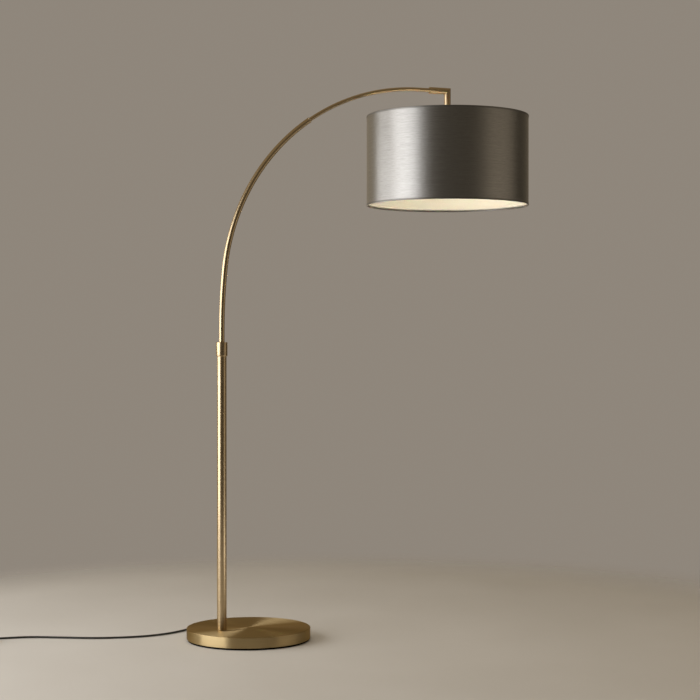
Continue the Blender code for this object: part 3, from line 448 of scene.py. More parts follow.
def woven_metallic_cloth():
    """Pewter cloth: fine weft lines round the drum, finer warp, long slubs and a satin sheen."""
    color = (0.335, 0.328, 0.316)
    look, tree, shader = new_look("pewter_cloth", Metallic=0.95, Anisotropic=0.45,
                                  Anisotropic_Rotation=0.25, Sheen_Weight=0.04, Sheen_Roughness=0.4)
    surface = add(tree, "ShaderNodeTexCoord")
    split = add(tree, "ShaderNodeSeparateXYZ", {"Vector": surface.outputs["UV"]})
    threads = []
    for axis, pitch in (("Y", 0.00085), ("X", 0.00055)):
        turns = add(tree, "ShaderNodeMath", {0: split.outputs[axis], 1: 2 * math.pi / pitch},
                    operation="MULTIPLY")
        wave = add(tree, "ShaderNodeMath", {0: turns.outputs[0]}, operation="SINE")
        threads.append(spread(tree, wave.outputs[0], 0.0, 1.0, -1.0, 1.0))
    weave = add(tree, "ShaderNodeMath", {0: threads[0], 1: threads[1]}, operation="MULTIPLY")
    slubs = noise_on(tree, stretched(tree, surface.outputs["UV"], (11.0, 620.0, 1.0)), 1.0, 4.0, 0.6)
    fine = noise_on(tree, stretched(tree, surface.outputs["UV"], (55.0, 1500.0, 1.0)), 1.0, 2.0)
    streaks = add(tree, "ShaderNodeMath", {0: slubs, 1: fine}, operation="ADD")
    tone = blend_colors(tree, spread(tree, streaks.outputs[0], 0.0, 1.0, 0.7, 1.3), tint(color, 0.80),
                        tint(color, 1.18))
    gloss = spread(tree, streaks.outputs[0], 0.40, 0.33, 0.7, 1.3)
    height = add(tree, "ShaderNodeMath", {0: weave.outputs[0], 1: 0.6, 2: slubs}, operation="MULTIPLY_ADD")
    bump = add(tree, "ShaderNodeBump", {"Height": height.outputs[0], "Strength": 0.30, "Distance": 0.00022})
    tangent = add(tree, "ShaderNodeTangent", direction_type="UV_MAP", uv_map="surface")
    plug_in(tree, shader, Base_Color=tone, Roughness=gloss, Normal=bump.outputs["Normal"],
            Tangent=tangent.outputs["Tangent"])
    return look


def tape_cloth():
    """The folded tape on the rims: a dark satin ribbon with a fine rib."""
    color = (0.19, 0.182, 0.170)
    look, tree, shader = new_look("rim_tape", Metallic=0.9, Sheen_Weight=0.1, Sheen_Roughness=0.5)
    surface = add(tree, "ShaderNodeTexCoord")
    ribs = add(tree, "ShaderNodeTexWave",
               {"Vector": surface.outputs["UV"], "Scale": 260.0, "Distortion": 0.6}, bands_direction="X")
    fibre = noise_on(tree, surface.outputs["Object"], 900.0)
    tone = blend_colors(tree, fibre, tint(color, 0.7), tint(color, 1.4))
    bump = add(tree, "ShaderNodeBump",
               {"Height": ribs.outputs["Fac"], "Strength": 0.3, "Distance": 0.00006})
    plug_in(tree, shader, Base_Color=tone, Roughness=spread(tree, fibre, 0.36, 0.5),
            Normal=bump.outputs["Normal"])
    return look


def moulded(name, color, roughness, scale, depth=0.00005, contrast=0.18, metallic=0.0, **sockets):
    """A plain moulded, cast or plated finish: mottled colour, uneven gloss and a fine bump."""
    look, tree, shader = new_look(name, Metallic=metallic, **sockets)
    surface = add(tree, "ShaderNodeTexCoord")
    fine = noise_on(tree, surface.outputs["Object"], scale, 6.0, 0.6)
    broad = noise_on(tree, surface.outputs["Object"], scale / 14.0, 3.0)
    both = add(tree, "ShaderNodeMath", {0: fine, 1: broad}, operation="ADD")
    amount = spread(tree, both.outputs[0], 0.0, 1.0, 0.7, 1.3)
    tone = blend_colors(tree, amount, tint(color, 1.0 - contrast), tint(color, 1.0 + contrast))
    bump = add(tree, "ShaderNodeBump", {"Height": fine, "Strength": 0.35, "Distance": depth})
    plug_in(tree, shader, Base_Color=tone, Normal=bump.outputs["Normal"],
            Roughness=spread(tree, both.outputs[0], roughness - 0.06, roughness + 0.08, 0.7, 1.3))
    return look


def opal_glass():
    """White glass lit from inside."""
    color = (0.95, 0.90, 0.80)
    look, tree, shader = new_look("opal_glass_lit", Roughness=0.25, Emission_Strength=25.0, Coat_Weight=0.4,
                                  Coat_Roughness=0.08)
    surface = add(tree, "ShaderNodeTexCoord")
    mist = noise_on(tree, surface.outputs["Object"], 60.0)
    glow = blend_colors(tree, mist, (1.0, 0.88, 0.73, 1.0), (1.0, 0.92, 0.79, 1.0))
    plug_in(tree, shader, Base_Color=blend_colors(tree, mist, tint(color, 0.95), tint(color, 1.0)),
            Emission_Color=glow)
    return look


def liner_sheet():
    """Warm white styrene with a faint grain and a little light passing through it."""
    color = (0.88, 0.82, 0.71)
    look, tree, shader = new_look("liner_sheet", Subsurface_Weight=0.15, Subsurface_Scale=0.004)
    surface = add(tree, "ShaderNodeTexCoord")
    grain = noise_on(tree, stretched(tree, surface.outputs["UV"], (120.0, 420.0, 1.0)), 1.0, 5.0)
    tone = blend_colors(tree, grain, tint(color, 0.93), tint(color, 1.05))
    bump = add(tree, "ShaderNodeBump", {"Height": grain, "Strength": 0.15, "Distance": 0.0001})
    plug_in(tree, shader, Base_Color=tone, Roughness=spread(tree, grain, 0.5, 0.66),
            Normal=bump.outputs["Normal"])
    return look


# ---------------------------------------------------------------- base and pole
def make_base_cover(looks):
    """The base's spun brass shell."""
    low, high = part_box("base_cover")
    radius = (high.x - low.x) / 2
    wall = 0.0015
    edge = 0.0012
    outline = [(0.0, high.z), (radius - edge, high.z), (radius, high.z - edge), (radius, low.z + 0.0006),
               (radius - 0.0006, low.z), (radius - wall, low.z), (radius - wall, high.z - wall),
               (0.0, high.z - wall)]
    cover = lathe("base_cover_spun", rounded(outline, 0.0004), sides=SIDES)
    dress(cover, looks["base_brass"], "base_brass", "base", "base_cover")


def make_foot_pad(looks):
    """The rubber pad under the base, hollowed a little underneath."""
    low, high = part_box("foot_pad")
    radius = (high.x - low.x) / 2
    outline = [(0.0, high.z), (radius, high.z), (radius, low.z), (radius - 0.012, low.z),
               (radius - 0.013, low.z + 0.0008), (0.0, low.z + 0.0008)]
    pad = lathe("foot_pad_moulded", rounded(outline, 0.0012), sides=SIDES)
    dress(pad, looks["rubber"], "black_rubber", "base", "foot_pad")


def make_pole(looks):
    """The upright tube."""
    radius = (POLE_HIGH.x - POLE_LOW.x) / 2
    bore = radius - 0.0015
    outline = [(radius, POLE_HIGH.z), (radius, POLE_LOW.z), (bore, POLE_LOW.z), (bore, POLE_HIGH.z)]
    pole = lathe("lower_pole_tube", rounded(outline, 0.0006, closed=True), POLE, loop=True)
    dress(pole, looks["brass"], "brass_satin", "base", "lower_pole")


def make_strain_relief(looks):
    """Flange, ribbed taper and mouth, turned about the cord's line."""
    base_radius = (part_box("base_cover")[1].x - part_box("base_cover")[0].x) / 2
    bore = CORD_DIAMETER / 2 + 0.0002
    tip = base_radius + RELIEF_LENGTH
    outline = [(bore, tip), (0.0036, tip)]
    ribs = 4
    run = tip - 0.002 - (base_radius + 0.0040)
    for rib in range(ribs):
        crest = tip - 0.002 - run * rib / ribs
        size = 0.0037 + 0.0011 * rib / ribs
        outline += [(size, crest), (size, crest - run * 0.14), (size - 0.0006, crest - run * 0.17),
                    (size - 0.0005, crest - run * 0.23)]
    outline += [(0.0049, base_radius + 0.0036), (0.0065, base_radius + 0.0024), (0.0066, base_radius + GAP),
                (0.0049, base_radius + GAP), (0.0049, base_radius - 0.004), (bore, base_radius - 0.004)]
    place = along(EXIT_DIRECTION, UP * EXIT_HEIGHT)
    relief = lathe("strain_relief", rounded(outline, 0.0003, closed=True, steps=3), sides=48, loop=True,
                   place=place)
    dress(relief, looks["rubber"], "black_rubber", "base", "cord_bushing")


def make_collar(looks):
    """The clamp ring at the pole's top."""
    low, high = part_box("collar")
    radius = (high.x - low.x) / 2
    pole_radius = (POLE_HIGH.x - POLE_LOW.x) / 2
    mouth = LOWER_TUBE_RADIUS + GAP
    chamfer = 0.0024
    outline = [(radius - 0.0006, high.z), (radius, high.z - 0.0006), (radius, low.z + chamfer),
               (radius - chamfer, low.z), (pole_radius + GAP, low.z), (pole_radius + GAP, high.z - 0.013),
               (0.0118, high.z - 0.003), (mouth, high.z - 0.003), (mouth, high.z)]
    collar = lathe("collar_ring", rounded(outline, 0.0004, closed=True), POLE, loop=True)
    dress(collar, looks["brass"], "brass_satin", "collar", "collar")


# ---------------------------------------------------------------- arm
def gentle_point(angle):
    """A point of the gentle bend above the collar."""
    return POLE + Vector((GENTLE_RADIUS * (1 - math.cos(angle)), 0.0,
                          BEND_START + GENTLE_RADIUS * math.sin(angle)))


def main_point(angle):
    """A point of the main bend, which ends level."""
    return POLE + Vector((MAIN_CENTRE_X - MAIN_RADIUS * math.cos(angle), 0.0,
                          MAIN_CENTRE_Z + MAIN_RADIUS * math.sin(angle)))


def angles(start, end, step=math.radians(0.8)):
    """Even angles from start to end, no more than a step apart."""
    count = max(1, math.ceil((end - start) / step))
    return [start + (end - start) * index / count for index in range(count + 1)]


def make_arm(looks):
    """The arm's two tubes and the ferrule where they meet."""
    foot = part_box("arc_lower_tube")[0].z
    line = [POLE + UP * foot, POLE + UP * 0.75]
    line += [gentle_point(angle) for angle in angles(0.0, GENTLE_ANGLE)]
    line += [main_point(angle) for angle in angles(GENTLE_ANGLE, JOINT_ANGLE - STUB_ANGLE)[1:]]
    line.append(main_point(JOINT_ANGLE))
    lower = pipe("arc_lower_pipe", line, LOWER_TUBE_RADIUS, LOWER_TUBE_BORE)
    dress(lower, looks["brass"], "brass_satin", "arm", "arc_lower_tube")
    line = [main_point(JOINT_ANGLE - STUB_ANGLE)]
    line += [main_point(angle) for angle in angles(JOINT_ANGLE, math.pi / 2)]
    line.append(Vector((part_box("arc_upper_tube")[1].x, POLE.y, ARM_TOP)))
    upper = pipe("arc_upper_pipe", line, UPPER_TUBE_RADIUS, UPPER_TUBE_BORE)
    dress(upper, looks["brass"], "brass_satin", "arm", "arc_upper_tube")
    outline = [(0.0072, 0.0036), (0.00875, 0.0026), (0.00875, 0.0008), (0.00815, 0.0002), (0.0066, 0.0002),
               (0.0066, -0.012), (0.0062, -0.012), (0.0062, 0.0036)]
    place = along(main_point(JOINT_ANGLE) - main_point(JOINT_ANGLE - STUB_ANGLE), main_point(JOINT_ANGLE))
    ferrule = lathe("arm_ferrule_ring", rounded(outline, 0.0007, closed=True), loop=True, place=place)
    dress(ferrule, looks["brass"], "brass_satin", "arm", "arm_ferrule")


def make_elbow(looks):
    """The level sleeve and the drop tube, meeting at a sharp mitre."""
    low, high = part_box("elbow")
    radius = (high.y - low.y) / 2
    corner = Vector((SHADE.x, SHADE.y, ARM_TOP))
    bore = radius - 0.00145
    lip = 0.0005
    rings = []
    stations = [(radius - lip, low.x, "start"), (radius, low.x + lip, "start"), (radius, 0.0, "mitre"),
                (radius, low.z + lip, "end"), (radius - lip, low.z, "end"), (bore, low.z, "end"),
                (bore, 0.0, "mitre"), (bore, low.x, "start")]
    for size, at, kind in stations:
        ring = []
        for side in range(TUBE_SIDES):
            angle = 2 * math.pi * side / TUBE_SIDES
            across = size * math.cos(angle)
            outward = size * math.sin(angle)
            if kind == "start":
                point = Vector((at, corner.y + across, corner.z + outward))
            elif kind == "mitre":
                point = corner + Vector((outward, across, outward))
            else:
                point = Vector((corner.x + outward, corner.y + across, at))
            ring.append(point)
        rings.append(ring)
    elbow = skin("elbow_mitred", rings, loop=True, around=2 * math.pi * radius)
    dress(elbow, looks["brass"], "brass_satin", "arm", "elbow")


# ---------------------------------------------------------------- shade
def make_shade(looks):
    """Cloth, liner, a lapped seam at the back and the rim tapes."""
    cloth_wall = 0.0008
    outline = [(SHADE_RADIUS, SHADE_HIGH.z), (SHADE_RADIUS, SHADE_LOW.z),
               (SHADE_RADIUS - cloth_wall, SHADE_LOW.z), (SHADE_RADIUS - cloth_wall, SHADE_HIGH.z)]
    cloth = lathe("shade_cloth", outline, SHADE, SIDES, loop=True)
    dress(cloth, looks["cloth"], "shade_fabric", "arm", "shade_fabric")
    low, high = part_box("shade_liner")
    radius = (high.x - low.x) / 2
    outline = [(radius, high.z), (radius, low.z), (radius - 0.0007, low.z), (radius - 0.0007, high.z)]
    liner = lathe("shade_liner_sheet", outline, SHADE, SIDES, loop=True)
    dress(liner, looks["liner"], "shade_liner", "arm", "shade_liner")
    make_seam(looks)
    make_tape(looks, "shade_tape_top", "shade_trim_top", 1)
    make_tape(looks, "shade_tape_bottom", "shade_trim_bottom", -1)


def make_seam(looks):
    """The cloth's lapped end, a narrow strip up the drum's back, folded under at its edge."""
    width = 0.013
    middle = math.radians(97.0)
    proud = 0.00018
    inset = 0.0045
    strips = 12
    rows = []
    for height in (SHADE_HIGH.z - inset, SHADE_LOW.z + inset):
        front = []
        back = []
        for strip in range(strips + 1):
            angle = middle + (strip / strips - 0.5) * width / SHADE_RADIUS
            outward = Vector((math.cos(angle), math.sin(angle), 0.0))
            fall = proud * (1 - abs(2 * strip / strips - 1) ** 3)
            front.append(SHADE + outward * (SHADE_RADIUS + fall) + UP * height)
            back.append(SHADE + outward * (SHADE_RADIUS - 0.0001) + UP * height)
        rows.append(front + back[::-1])
    seam = skin("shade_seam", rows, around=2 * width)
    work = bmesh.new()
    work.from_mesh(seam.data)
    bmesh.ops.holes_fill(work, edges=work.edges)
    bmesh.ops.recalc_face_normals(work, faces=work.faces)
    work.to_mesh(seam.data)
    work.free()
    dress(seam, looks["cloth"], "shade_fabric", "arm")


def make_tape(looks, name, node, upwards):
    """A tape folded over a rim, with a soft round fold."""
    low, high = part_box(node)
    outer = (high.x - low.x) / 2
    wall = 0.0005
    inner = outer - 0.0035
    crest, legs = (high.z, low.z) if upwards > 0 else (low.z, high.z)
    under = crest - upwards * wall
    outline = [(outer, crest), (outer, legs), (outer - wall, legs), (outer - wall, under),
               (inner + wall, under), (inner + wall, legs), (inner, legs), (inner, crest)]
    if upwards < 0:
        outline.reverse()
    tape = lathe(name, rounded(outline, 0.0009, closed=True, steps=3), SHADE, SIDES, loop=True)
    dress(tape, looks["tape"], "shade_trim", "arm", node)


def hoop_line(radius, height, count=160):
    """Points round the shade's axis."""
    points = []
    for index in range(count):
        angle = 2 * math.pi * index / count
        points.append(SHADE + Vector((radius * math.cos(angle), radius * math.sin(angle), height)))
    return points


def make_spider(looks):
    """The top hoop with its three spokes, the hub, and the lower hoop."""
    low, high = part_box("shade_spider")
    hub_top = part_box("elbow")[0].z - GAP
    thick = 0.0016
    radius = (high.x - low.x) / 2 - thick
    hoop_height = high.z - thick
    lines = [hoop_line(radius, hoop_height)]
    hub_radius = 0.015
    for index in range(3):
        turn = index * 2 * math.pi / 3
        outward = Vector((math.cos(turn), math.sin(turn), 0.0))
        stations = [(hub_radius - 0.004, hub_top - 0.001), (hub_radius + 0.020, hub_top - 0.001),
                    (hub_radius + 0.036, hub_top + 0.004), (radius - 0.050, hoop_height - 0.001),
                    (radius - 0.030, hoop_height), (radius, hoop_height)]
        points = [SHADE + outward * reach + UP * height for reach, height in stations]
        lines.append(smooth_line(points, 6))
    wires = wire("shade_spider_wires", lines, thick, closed=(0,))
    dress(wires, looks["coated_wire"], "wire_white", "arm", "shade_spider")
    hub_bore = 0.0051
    hub_base = hub_top - 0.002
    outline = [(hub_radius, hub_top), (hub_radius, hub_base), (hub_bore, hub_base), (hub_bore, hub_top)]
    hub = lathe("shade_spider_hub", rounded(outline, 0.0005, closed=True), SHADE, loop=True)
    dress(hub, looks["coated_wire"], "wire_white", "arm", "shade_spider")
    low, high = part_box("shade_hoop_lower")
    hoop = hoop_line((high.x - low.x) / 2 - thick, (low.z + high.z) / 2)
    lower = wire("shade_hoop_lower_wire", [hoop], thick, closed=(0,))
    dress(lower, looks["coated_wire"], "wire_white", "arm", "shade_hoop_lower")


# ---------------------------------------------------------------- lampholder and bulb
def make_lampholder(looks):
    """The holder's domed cap round the nipple, and its lower shell with a bead round each end."""
    low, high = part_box("lampholder_cap")
    radius = (high.x - low.x) / 2
    wall = 0.0008
    outline = [(0.0060, high.z), (0.0088, high.z), (0.0102, high.z - 0.0012), (0.0128, high.z - 0.0040),
               (0.0152, high.z - 0.0095), (radius - 0.0006, high.z - 0.0150),
               (radius - 0.0006, high.z - 0.0165), (radius, high.z - 0.0172), (radius, low.z),
               (radius - wall, low.z), (radius - wall, high.z - 0.017), (0.0144, high.z - 0.0100),
               (0.0120, high.z - 0.0048), (0.0084, high.z - 0.0010),
               (0.0051, high.z - 0.0010), (0.0051, high.z)]
    cap = lathe("lampholder_cap_pressed", rounded(outline, 0.0006, closed=True), SHADE, loop=True)
    dress(cap, looks["contact_brass"], "contact_brass", "arm", "lampholder_cap")
    low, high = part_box("lampholder_shell")
    bead = 0.0006
    outline = [(radius, high.z), (radius, high.z - 0.0030), (radius - bead, high.z - 0.0038),
               (radius - bead, low.z + 0.0052), (radius, low.z + 0.0044), (radius, low.z + 0.0004),
               (radius - 0.0004, low.z), (radius - bead - wall, low.z), (radius - bead - wall, high.z)]
    shell = lathe("lampholder_shell_pressed", rounded(outline, 0.0005, closed=True), SHADE, loop=True)
    dress(shell, looks["contact_brass"], "contact_brass", "arm", "lampholder_shell")


def make_knob(looks):
    """The turn knob: a ridged paddle on a round shaft."""
    low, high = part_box("switch_knob")
    middle = (low + high) / 2
    shaft_radius = 0.0022
    place = along((0.0, -1.0, 0.0), Vector((middle.x, high.y, middle.z)))
    shaft_length = 0.015
    outline = [(0.0, shaft_length), (shaft_radius, shaft_length), (shaft_radius, 0.0), (0.0, 0.0)]
    shaft = lathe("switch_knob_shaft", rounded(outline, 0.0004), sides=40, place=place)
    dress(shaft, looks["gloss_black"], "black_plastic", "switch", "switch_knob")
    rings = []
    depth = 0.012
    half_thick = 0.0020
    half_wide = 0.0063
    for step in range(25):
        t = step / 24
        swell = max(0.0, 1 - abs(2 * t - 1) ** 5) ** 0.5
        ridge = 1.0 + 0.06 * math.cos(2 * math.pi * 5 * t)
        ring = []
        for side in range(48):
            angle = 2 * math.pi * side / 48
            across = blunt(math.cos(angle), 0.5) * half_thick * ridge
            upward = blunt(math.sin(angle), 0.6) * half_wide
            ring.append(Vector((middle.x + across * swell, low.y + depth * t, middle.z + upward * swell)))
        rings.append(ring)
    grip = skin("switch_knob_grip", rings, around=0.035)
    dress(grip, looks["gloss_black"], "black_plastic", "switch", "switch_knob")


def make_bulb_glass(looks):
    """The bulb's pear-shaped glass, open at its neck."""
    low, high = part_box("bulb_glass")
    radius = (high.x - low.x) / 2
    centre = low.z + radius
    neck = high.z
    stations = [(0.0118, neck), (0.0124, neck - 0.006), (0.0148, neck - 0.018), (0.0215, neck - 0.032)]
    for degrees in (22, 5, -12, -30, -48, -66, -80):
        angle = math.radians(degrees)
        stations.append((radius * math.cos(angle), centre + radius * math.sin(angle)))
    stations.append((0.0, low.z))
    curve = smooth_line([(reach, 0.0, height) for reach, height in stations], 5)
    outline = [(max(0.0, point.x), point.z) for point in curve]
    outline[-1] = (0.0, low.z)
    thin = 0.001
    inside = [(max(0.0, reach - thin), height + thin * 0.5) for reach, height in reversed(outline)]
    inside[0] = (0.0, low.z + thin)
    glass = lathe("bulb_envelope", outline + inside + [outline[0]], SHADE)
    glass.visible_glossy = False
    dress(glass, looks["opal"], "opal_glass", "arm", "bulb_glass")


def make_bulb_cap(looks):
    """The bulb's rolled screw cap."""
    low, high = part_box("bulb_cap")
    size = (high.x - low.x) / 2
    outline = [(0.0050, high.z - 0.0002), (0.0085, high.z - 0.0010), (size - 0.0012, high.z - 0.0035)]
    pitch = 0.0036
    steps = 28
    top = high.z - 0.0045
    bottom = low.z + 0.0045
    for index in range(steps + 1):
        height = top + (bottom - top) * index / steps
        outline.append((size - 0.0005 + 0.00045 * math.cos(2 * math.pi * (height - top) / pitch), height))
    outline += [(size, low.z + 0.0032), (size, low.z), (size - 0.0005, low.z),
                (size - 0.0014, low.z + 0.0055), (size - 0.0016, high.z - 0.0045),
                (0.0050, high.z - 0.0012)]
    cap = lathe("bulb_cap_rolled", outline, SHADE, loop=True)
    dress(cap, looks["aluminium"], "bulb_cap", "arm", "bulb_cap")


# ---------------------------------------------------------------- plug
def make_plug(looks):
    """A moulded two-blade plug: a ribbed relief, a rounded flat body with grip ridges, and its blades."""
    low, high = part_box("plug_body")
    half_width = (high.x - low.x) / 2
    half_height = (high.z - low.z) / 2
    middle = Vector(((low.x + high.x) / 2, 0.0, (low.z + high.z) / 2))
    length = high.y - low.y
    relief = 0.024
    rings = []
    stations = 72
    for step in range(stations + 1):
        forward = length * step / stations
        if forward < relief:
            share = forward / relief
            wide = tall = 0.0034 + 0.0018 * share + 0.00035 * math.cos(2 * math.pi * forward / 0.0040)
            power = 1.0
        else:
            share = min(1.0, (forward - relief) / 0.013)
            ease = share * share * (3 - 2 * share)
            wide = 0.0052 + (half_width - 0.0052) * ease
            tall = 0.0052 + (half_height - 0.0052) * ease
            power = 1.0 - 0.45 * ease
            if relief + 0.014 < forward < length - 0.007:
                wide -= 0.0005 * (1 - math.cos(2 * math.pi * (forward - relief - 0.014) / 0.0034)) / 2
        left = length - forward
        if left < 0.0018:
            edge = 0.0018 - math.sqrt(max(0.0, 0.0018 ** 2 - (0.0018 - left) ** 2))
            wide -= edge
            tall -= edge
        ring = []
        for side in range(64):
            angle = 2 * math.pi * side / 64
            across = blunt(math.cos(angle), power) * wide
            upward = blunt(math.sin(angle), power) * tall
            ring.append(Vector((middle.x + across, high.y - forward, middle.z + upward)))
        rings.append(ring)
    end = [Vector((middle.x, low.y, middle.z))] * 64
    start = [Vector((middle.x, high.y, middle.z))] * 64
    body = skin("plug_moulding", [start] + rings + [end], around=0.06)
    dress(body, looks["gloss_black"], "black_plastic", "base", "plug_body")
    return [body] + [make_blade(looks, node) for node in ("plug_blade_neutral", "plug_blade_live")]


def make_blade(looks, node):
    """A pressed blade with a rounded tip and a hole."""
    low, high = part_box(node)
    length = high.y - low.y
    half = (high.z - low.z) / 2
    data = bpy.data.curves.new(node + "_pressed", "CURVE")
    data.dimensions = "2D"
    data.fill_mode = "BOTH"
    data.extrude = (high.x - low.x) / 2 - 0.0002
    data.bevel_depth = 0.0002
    data.bevel_resolution = 2
    edge = 0.0002
    tip = [(length - half * 0.55 + half * 0.5 * math.sin(math.radians(angle)),
            (half - edge) * math.cos(math.radians(angle))) for angle in range(0, 181, 15)]
    outline = [(edge, half - edge)] + tip + [(edge, edge - half)]
    hole = [(length - 0.004 + 0.0016 * math.cos(2 * math.pi * index / 24),
             0.0016 * math.sin(2 * math.pi * index / 24)) for index in range(24)]
    for points in (outline, hole):
        spline = data.splines.new("POLY")
        spline.points.add(len(points) - 1)
        for slot, (forward, upward) in zip(spline.points, points):
            slot.co = (forward, upward, 0.0, 1.0)
        spline.use_cyclic_u = True
    blade = bpy.data.objects.new(node + "_pressed", data)
    bpy.context.scene.collection.objects.link(blade)
    axes = Matrix(((0.0, 0.0, 1.0), (-1.0, 0.0, 0.0), (0.0, 1.0, 0.0))).to_4x4()
    blade.matrix_world = Matrix.Translation(((low.x + high.x) / 2, high.y, (low.z + high.z) / 2)) @ axes
    return dress(blade, looks["contact_brass"], "contact_brass", "base", node)


# ---------------------------------------------------------------- studio
DAYLIGHT = (0.98, 0.985, 1.0)
SOFT_WHITE = (1.0, 0.96, 0.90)
WARM_WALL = (1.0, 0.84, 0.64)
CEILING = (1.0, 0.95, 0.88)
ROOM_GLOW = (1.0, 0.80, 0.53, 1.0)
WALL_TONE = (0.275, 0.240, 0.200, 1.0)


def studio_point(right, away, height):
    """A place in the studio, from the pole: to the right, away from the camera, and up."""
    return POLE + RIGHT * right + AWAY * away + UP * height


def softbox(name, place, target, size, radiance, color, mirrored=True):
    """A rectangular light of a given brightness; one that isn't mirrored gives light but no reflection."""
    data = bpy.data.lights.new(name, "AREA")
    data.shape = "RECTANGLE"
    data.size, data.size_y = size
    data.energy = radiance * math.pi * size[0] * size[1]
    data.color = color
    lamp = bpy.data.objects.new(name, data)
    facing = (target - place).to_track_quat("-Z", "Y")
    lamp.matrix_world = Matrix.Translation(place) @ facing.to_matrix().to_4x4()
    lamp.visible_glossy = mirrored
    lamp.visible_camera = False
    bpy.context.scene.collection.objects.link(lamp)


def make_lights():
    """A large key to the left, a wing behind it, a warm fill to the right, a low and a high light."""
    softbox("key_left", studio_point(-2.00, -0.92, 1.22), studio_point(0.0, 0.0, 1.22), (2.40, 2.35), 3.35,
            DAYLIGHT)
    softbox("key_wing", studio_point(-2.42, 1.02, 1.50), studio_point(0.68, 0.28, 1.45), (1.4, 0.8), 3.3,
            DAYLIGHT)
    softbox("fill_right", studio_point(3.05, -0.55, 1.15), studio_point(0.3, 0.1, 1.15), (2.3, 2.2), 0.36,
            WARM_WALL)
    softbox("low_right", studio_point(1.20, -0.35, 0.05), studio_point(1.20, -0.35, 1.7), (0.9, 0.9), 2.0,
            SOFT_WHITE)
    softbox("top_soft", studio_point(-0.1, -0.4, 3.2), studio_point(-0.1, -0.4, 0.0), (2.6, 2.2), 1.35,
            CEILING, mirrored=False)


def make_world():
    """A warm grey studio: even behind the lamp, dark towards the camera, the right and the ceiling."""
    world = bpy.data.worlds.new("studio")
    bpy.context.scene.world = world
    world.use_nodes = True
    tree = world.node_tree
    tree.nodes.clear()
    direction = add(tree, "ShaderNodeTexCoord").outputs["Generated"]
    back_left = AWAY - RIGHT * 1.3
    facing = add(tree, "ShaderNodeVectorMath", {0: direction, 1: back_left}, operation="DOT_PRODUCT")
    height = add(tree, "ShaderNodeSeparateXYZ", {"Vector": direction}).outputs["Z"]
    overhead = spread(tree, height, 0.0, 1.0, 0.2, 0.75)
    level = add(tree, "ShaderNodeMix", {"Factor": overhead,
                                        "A": spread(tree, facing.outputs["Value"], 0.048, 0.34, -0.5, 1.3),
                                        "B": 0.24})
    glow = add(tree, "ShaderNodeBackground", {"Color": ROOM_GLOW, "Strength": level.outputs[0]})
    plain = add(tree, "ShaderNodeBackground", {"Color": WALL_TONE, "Strength": 1.0})
    path = add(tree, "ShaderNodeLightPath")
    choose = add(tree, "ShaderNodeMixShader", {"Fac": path.outputs["Is Camera Ray"]})
    tree.links.new(glow.outputs[0], choose.inputs[1])
    tree.links.new(plain.outputs[0], choose.inputs[2])
    output = add(tree, "ShaderNodeOutputWorld")
    tree.links.new(choose.outputs[0], output.inputs["Surface"])


def make_floor():
    """A plain pale floor that fades out round the lamp."""
    radius = 2.1
    centre = Vector((0.25, 0.0, -0.0004))
    profile = [(0.0, 0.0)] + [(radius * step / 6, 0.0) for step in range(1, 7)]
    floor = lathe("floor", profile, centre, sides=96)
    look, tree, shader = new_look("pale_floor", Specular_IOR_Level=0.25)
    surface = add(tree, "ShaderNodeTexCoord")
    clouds = noise_on(tree, surface.outputs["Object"], 2.2, 6.0)
    tone = blend_colors(tree, clouds, (0.57, 0.545, 0.505, 1.0), (0.65, 0.625, 0.585, 1.0))
    plug_in(tree, shader, Base_Color=tone, Roughness=spread(tree, clouds, 0.55, 0.7))
    offset = add(tree, "ShaderNodeVectorMath", {0: surface.outputs["Object"], 1: centre},
                 operation="SUBTRACT")
    reach = add(tree, "ShaderNodeVectorMath", {0: offset.outputs[0]}, operation="LENGTH")
    fade = add(tree, "ShaderNodeMapRange",
               {"Value": reach.outputs["Value"], "From Min": 1.30, "From Max": 2.05,
                "To Min": 0.0, "To Max": 1.0}, interpolation_type="SMOOTHSTEP")
    clear = add(tree, "ShaderNodeBsdfTransparent")
    mixed = add(tree, "ShaderNodeMixShader", {"Fac": fade.outputs["Result"]})
    tree.links.new(shader.outputs[0], mixed.inputs[1])
    tree.links.new(clear.outputs[0], mixed.inputs[2])
    tree.links.new(mixed.outputs[0], tree.nodes["Material Output"].inputs["Surface"])
    floor.data.materials.append(look)


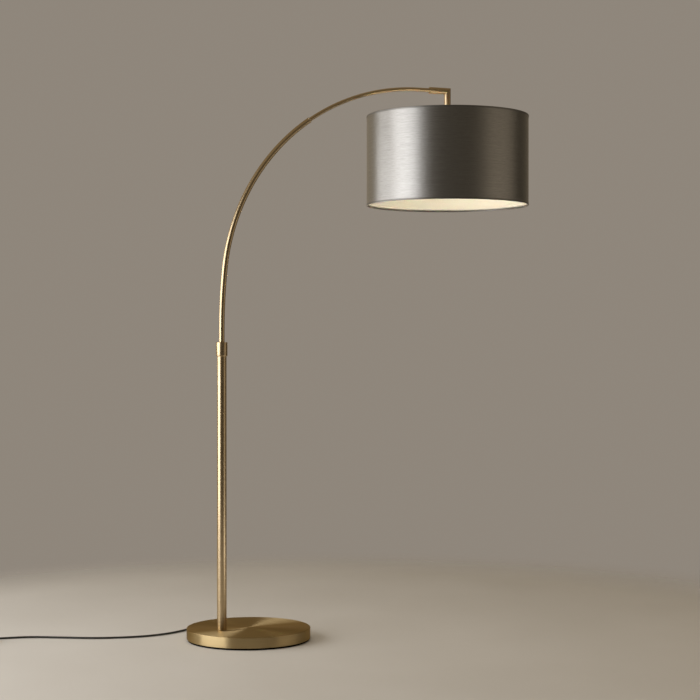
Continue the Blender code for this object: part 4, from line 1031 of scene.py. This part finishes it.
# ---------------------------------------------------------------- finishes for the nodes that stay
def make_looks():
    """Every finish, by the name the pieces ask for."""
    brass = (0.60, 0.475, 0.300)
    return {
        "brass": brushed_brass("satin_brass", brass, 0.31, 0.35, 1800.0),
        "base_brass": brushed_brass("turned_base_brass", (0.50, 0.385, 0.205), 0.37, 0.98, 1300.0),
        "cloth": woven_metallic_cloth(),
        "tape": tape_cloth(),
        "liner": liner_sheet(),
        "opal": opal_glass(),
        "rubber": moulded("black_rubber", (0.004, 0.0035, 0.003), 0.80, 700.0, Specular_IOR_Level=0.05),
        "pvc": moulded("black_pvc", (0.016, 0.015, 0.014), 0.42, 900.0),
        "gloss_black": moulded("gloss_black", (0.014, 0.014, 0.015), 0.26, 500.0, depth=0.00002),
        "concrete": moulded("cast_concrete", (0.33, 0.32, 0.30), 0.85, 260.0, depth=0.0006, contrast=0.3),
        "zinc": moulded("zinc_plate", (0.58, 0.58, 0.60), 0.34, 320.0, metallic=1.0),
        "nylon": moulded("natural_nylon", (0.76, 0.74, 0.68), 0.45, 400.0, contrast=0.05,
                         Subsurface_Weight=0.1),
        "coated_wire": moulded("coated_wire", (0.74, 0.71, 0.64), 0.42, 600.0, contrast=0.06),
        "phenolic": moulded("phenolic", (0.040, 0.026, 0.018), 0.35, 450.0, contrast=0.35),
        "contact_brass": moulded("pressed_brass", (0.66, 0.50, 0.25), 0.28, 300.0, metallic=1.0,
                                 contrast=0.1),
        "aluminium": moulded("rolled_aluminium", (0.72, 0.72, 0.73), 0.32, 500.0, metallic=1.0,
                             contrast=0.08),
    }


def finish_kept_nodes(looks):
    """Nodes whose CAD shape is right get a finish by their slot."""
    by_slot = {"cast_concrete": "concrete", "zinc_steel": "zinc", "nylon": "nylon", "black_pvc": "pvc",
               "contact_brass": "contact_brass", "phenolic": "phenolic", "brass_satin": "brass",
               "base_brass": "base_brass", "black_rubber": "rubber", "shade_fabric": "cloth",
               "shade_liner": "liner", "shade_trim": "tape", "wire_white": "coated_wire",
               "black_plastic": "gloss_black", "opal_glass": "opal", "bulb_cap": "aluminium"}
    for entry in frame["record"]["subparts"]:
        node = frame["nodes"][entry["node"]]
        node.data.materials.clear()
        node.data.materials.append(looks[by_slot[entry["material_slot"]]])


looks = make_looks()
finish_kept_nodes(looks)
make_camera()
plug_pieces = make_plug(looks)
make_cord(looks["pvc"])
make_base_cover(looks)
make_foot_pad(looks)
make_pole(looks)
make_strain_relief(looks)
make_collar(looks)
make_arm(looks)
make_elbow(looks)
make_shade(looks)
make_spider(looks)
make_lampholder(looks)
make_knob(looks)
make_bulb_glass(looks)
make_bulb_cap(looks)
make_floor()
make_world()
make_lights()
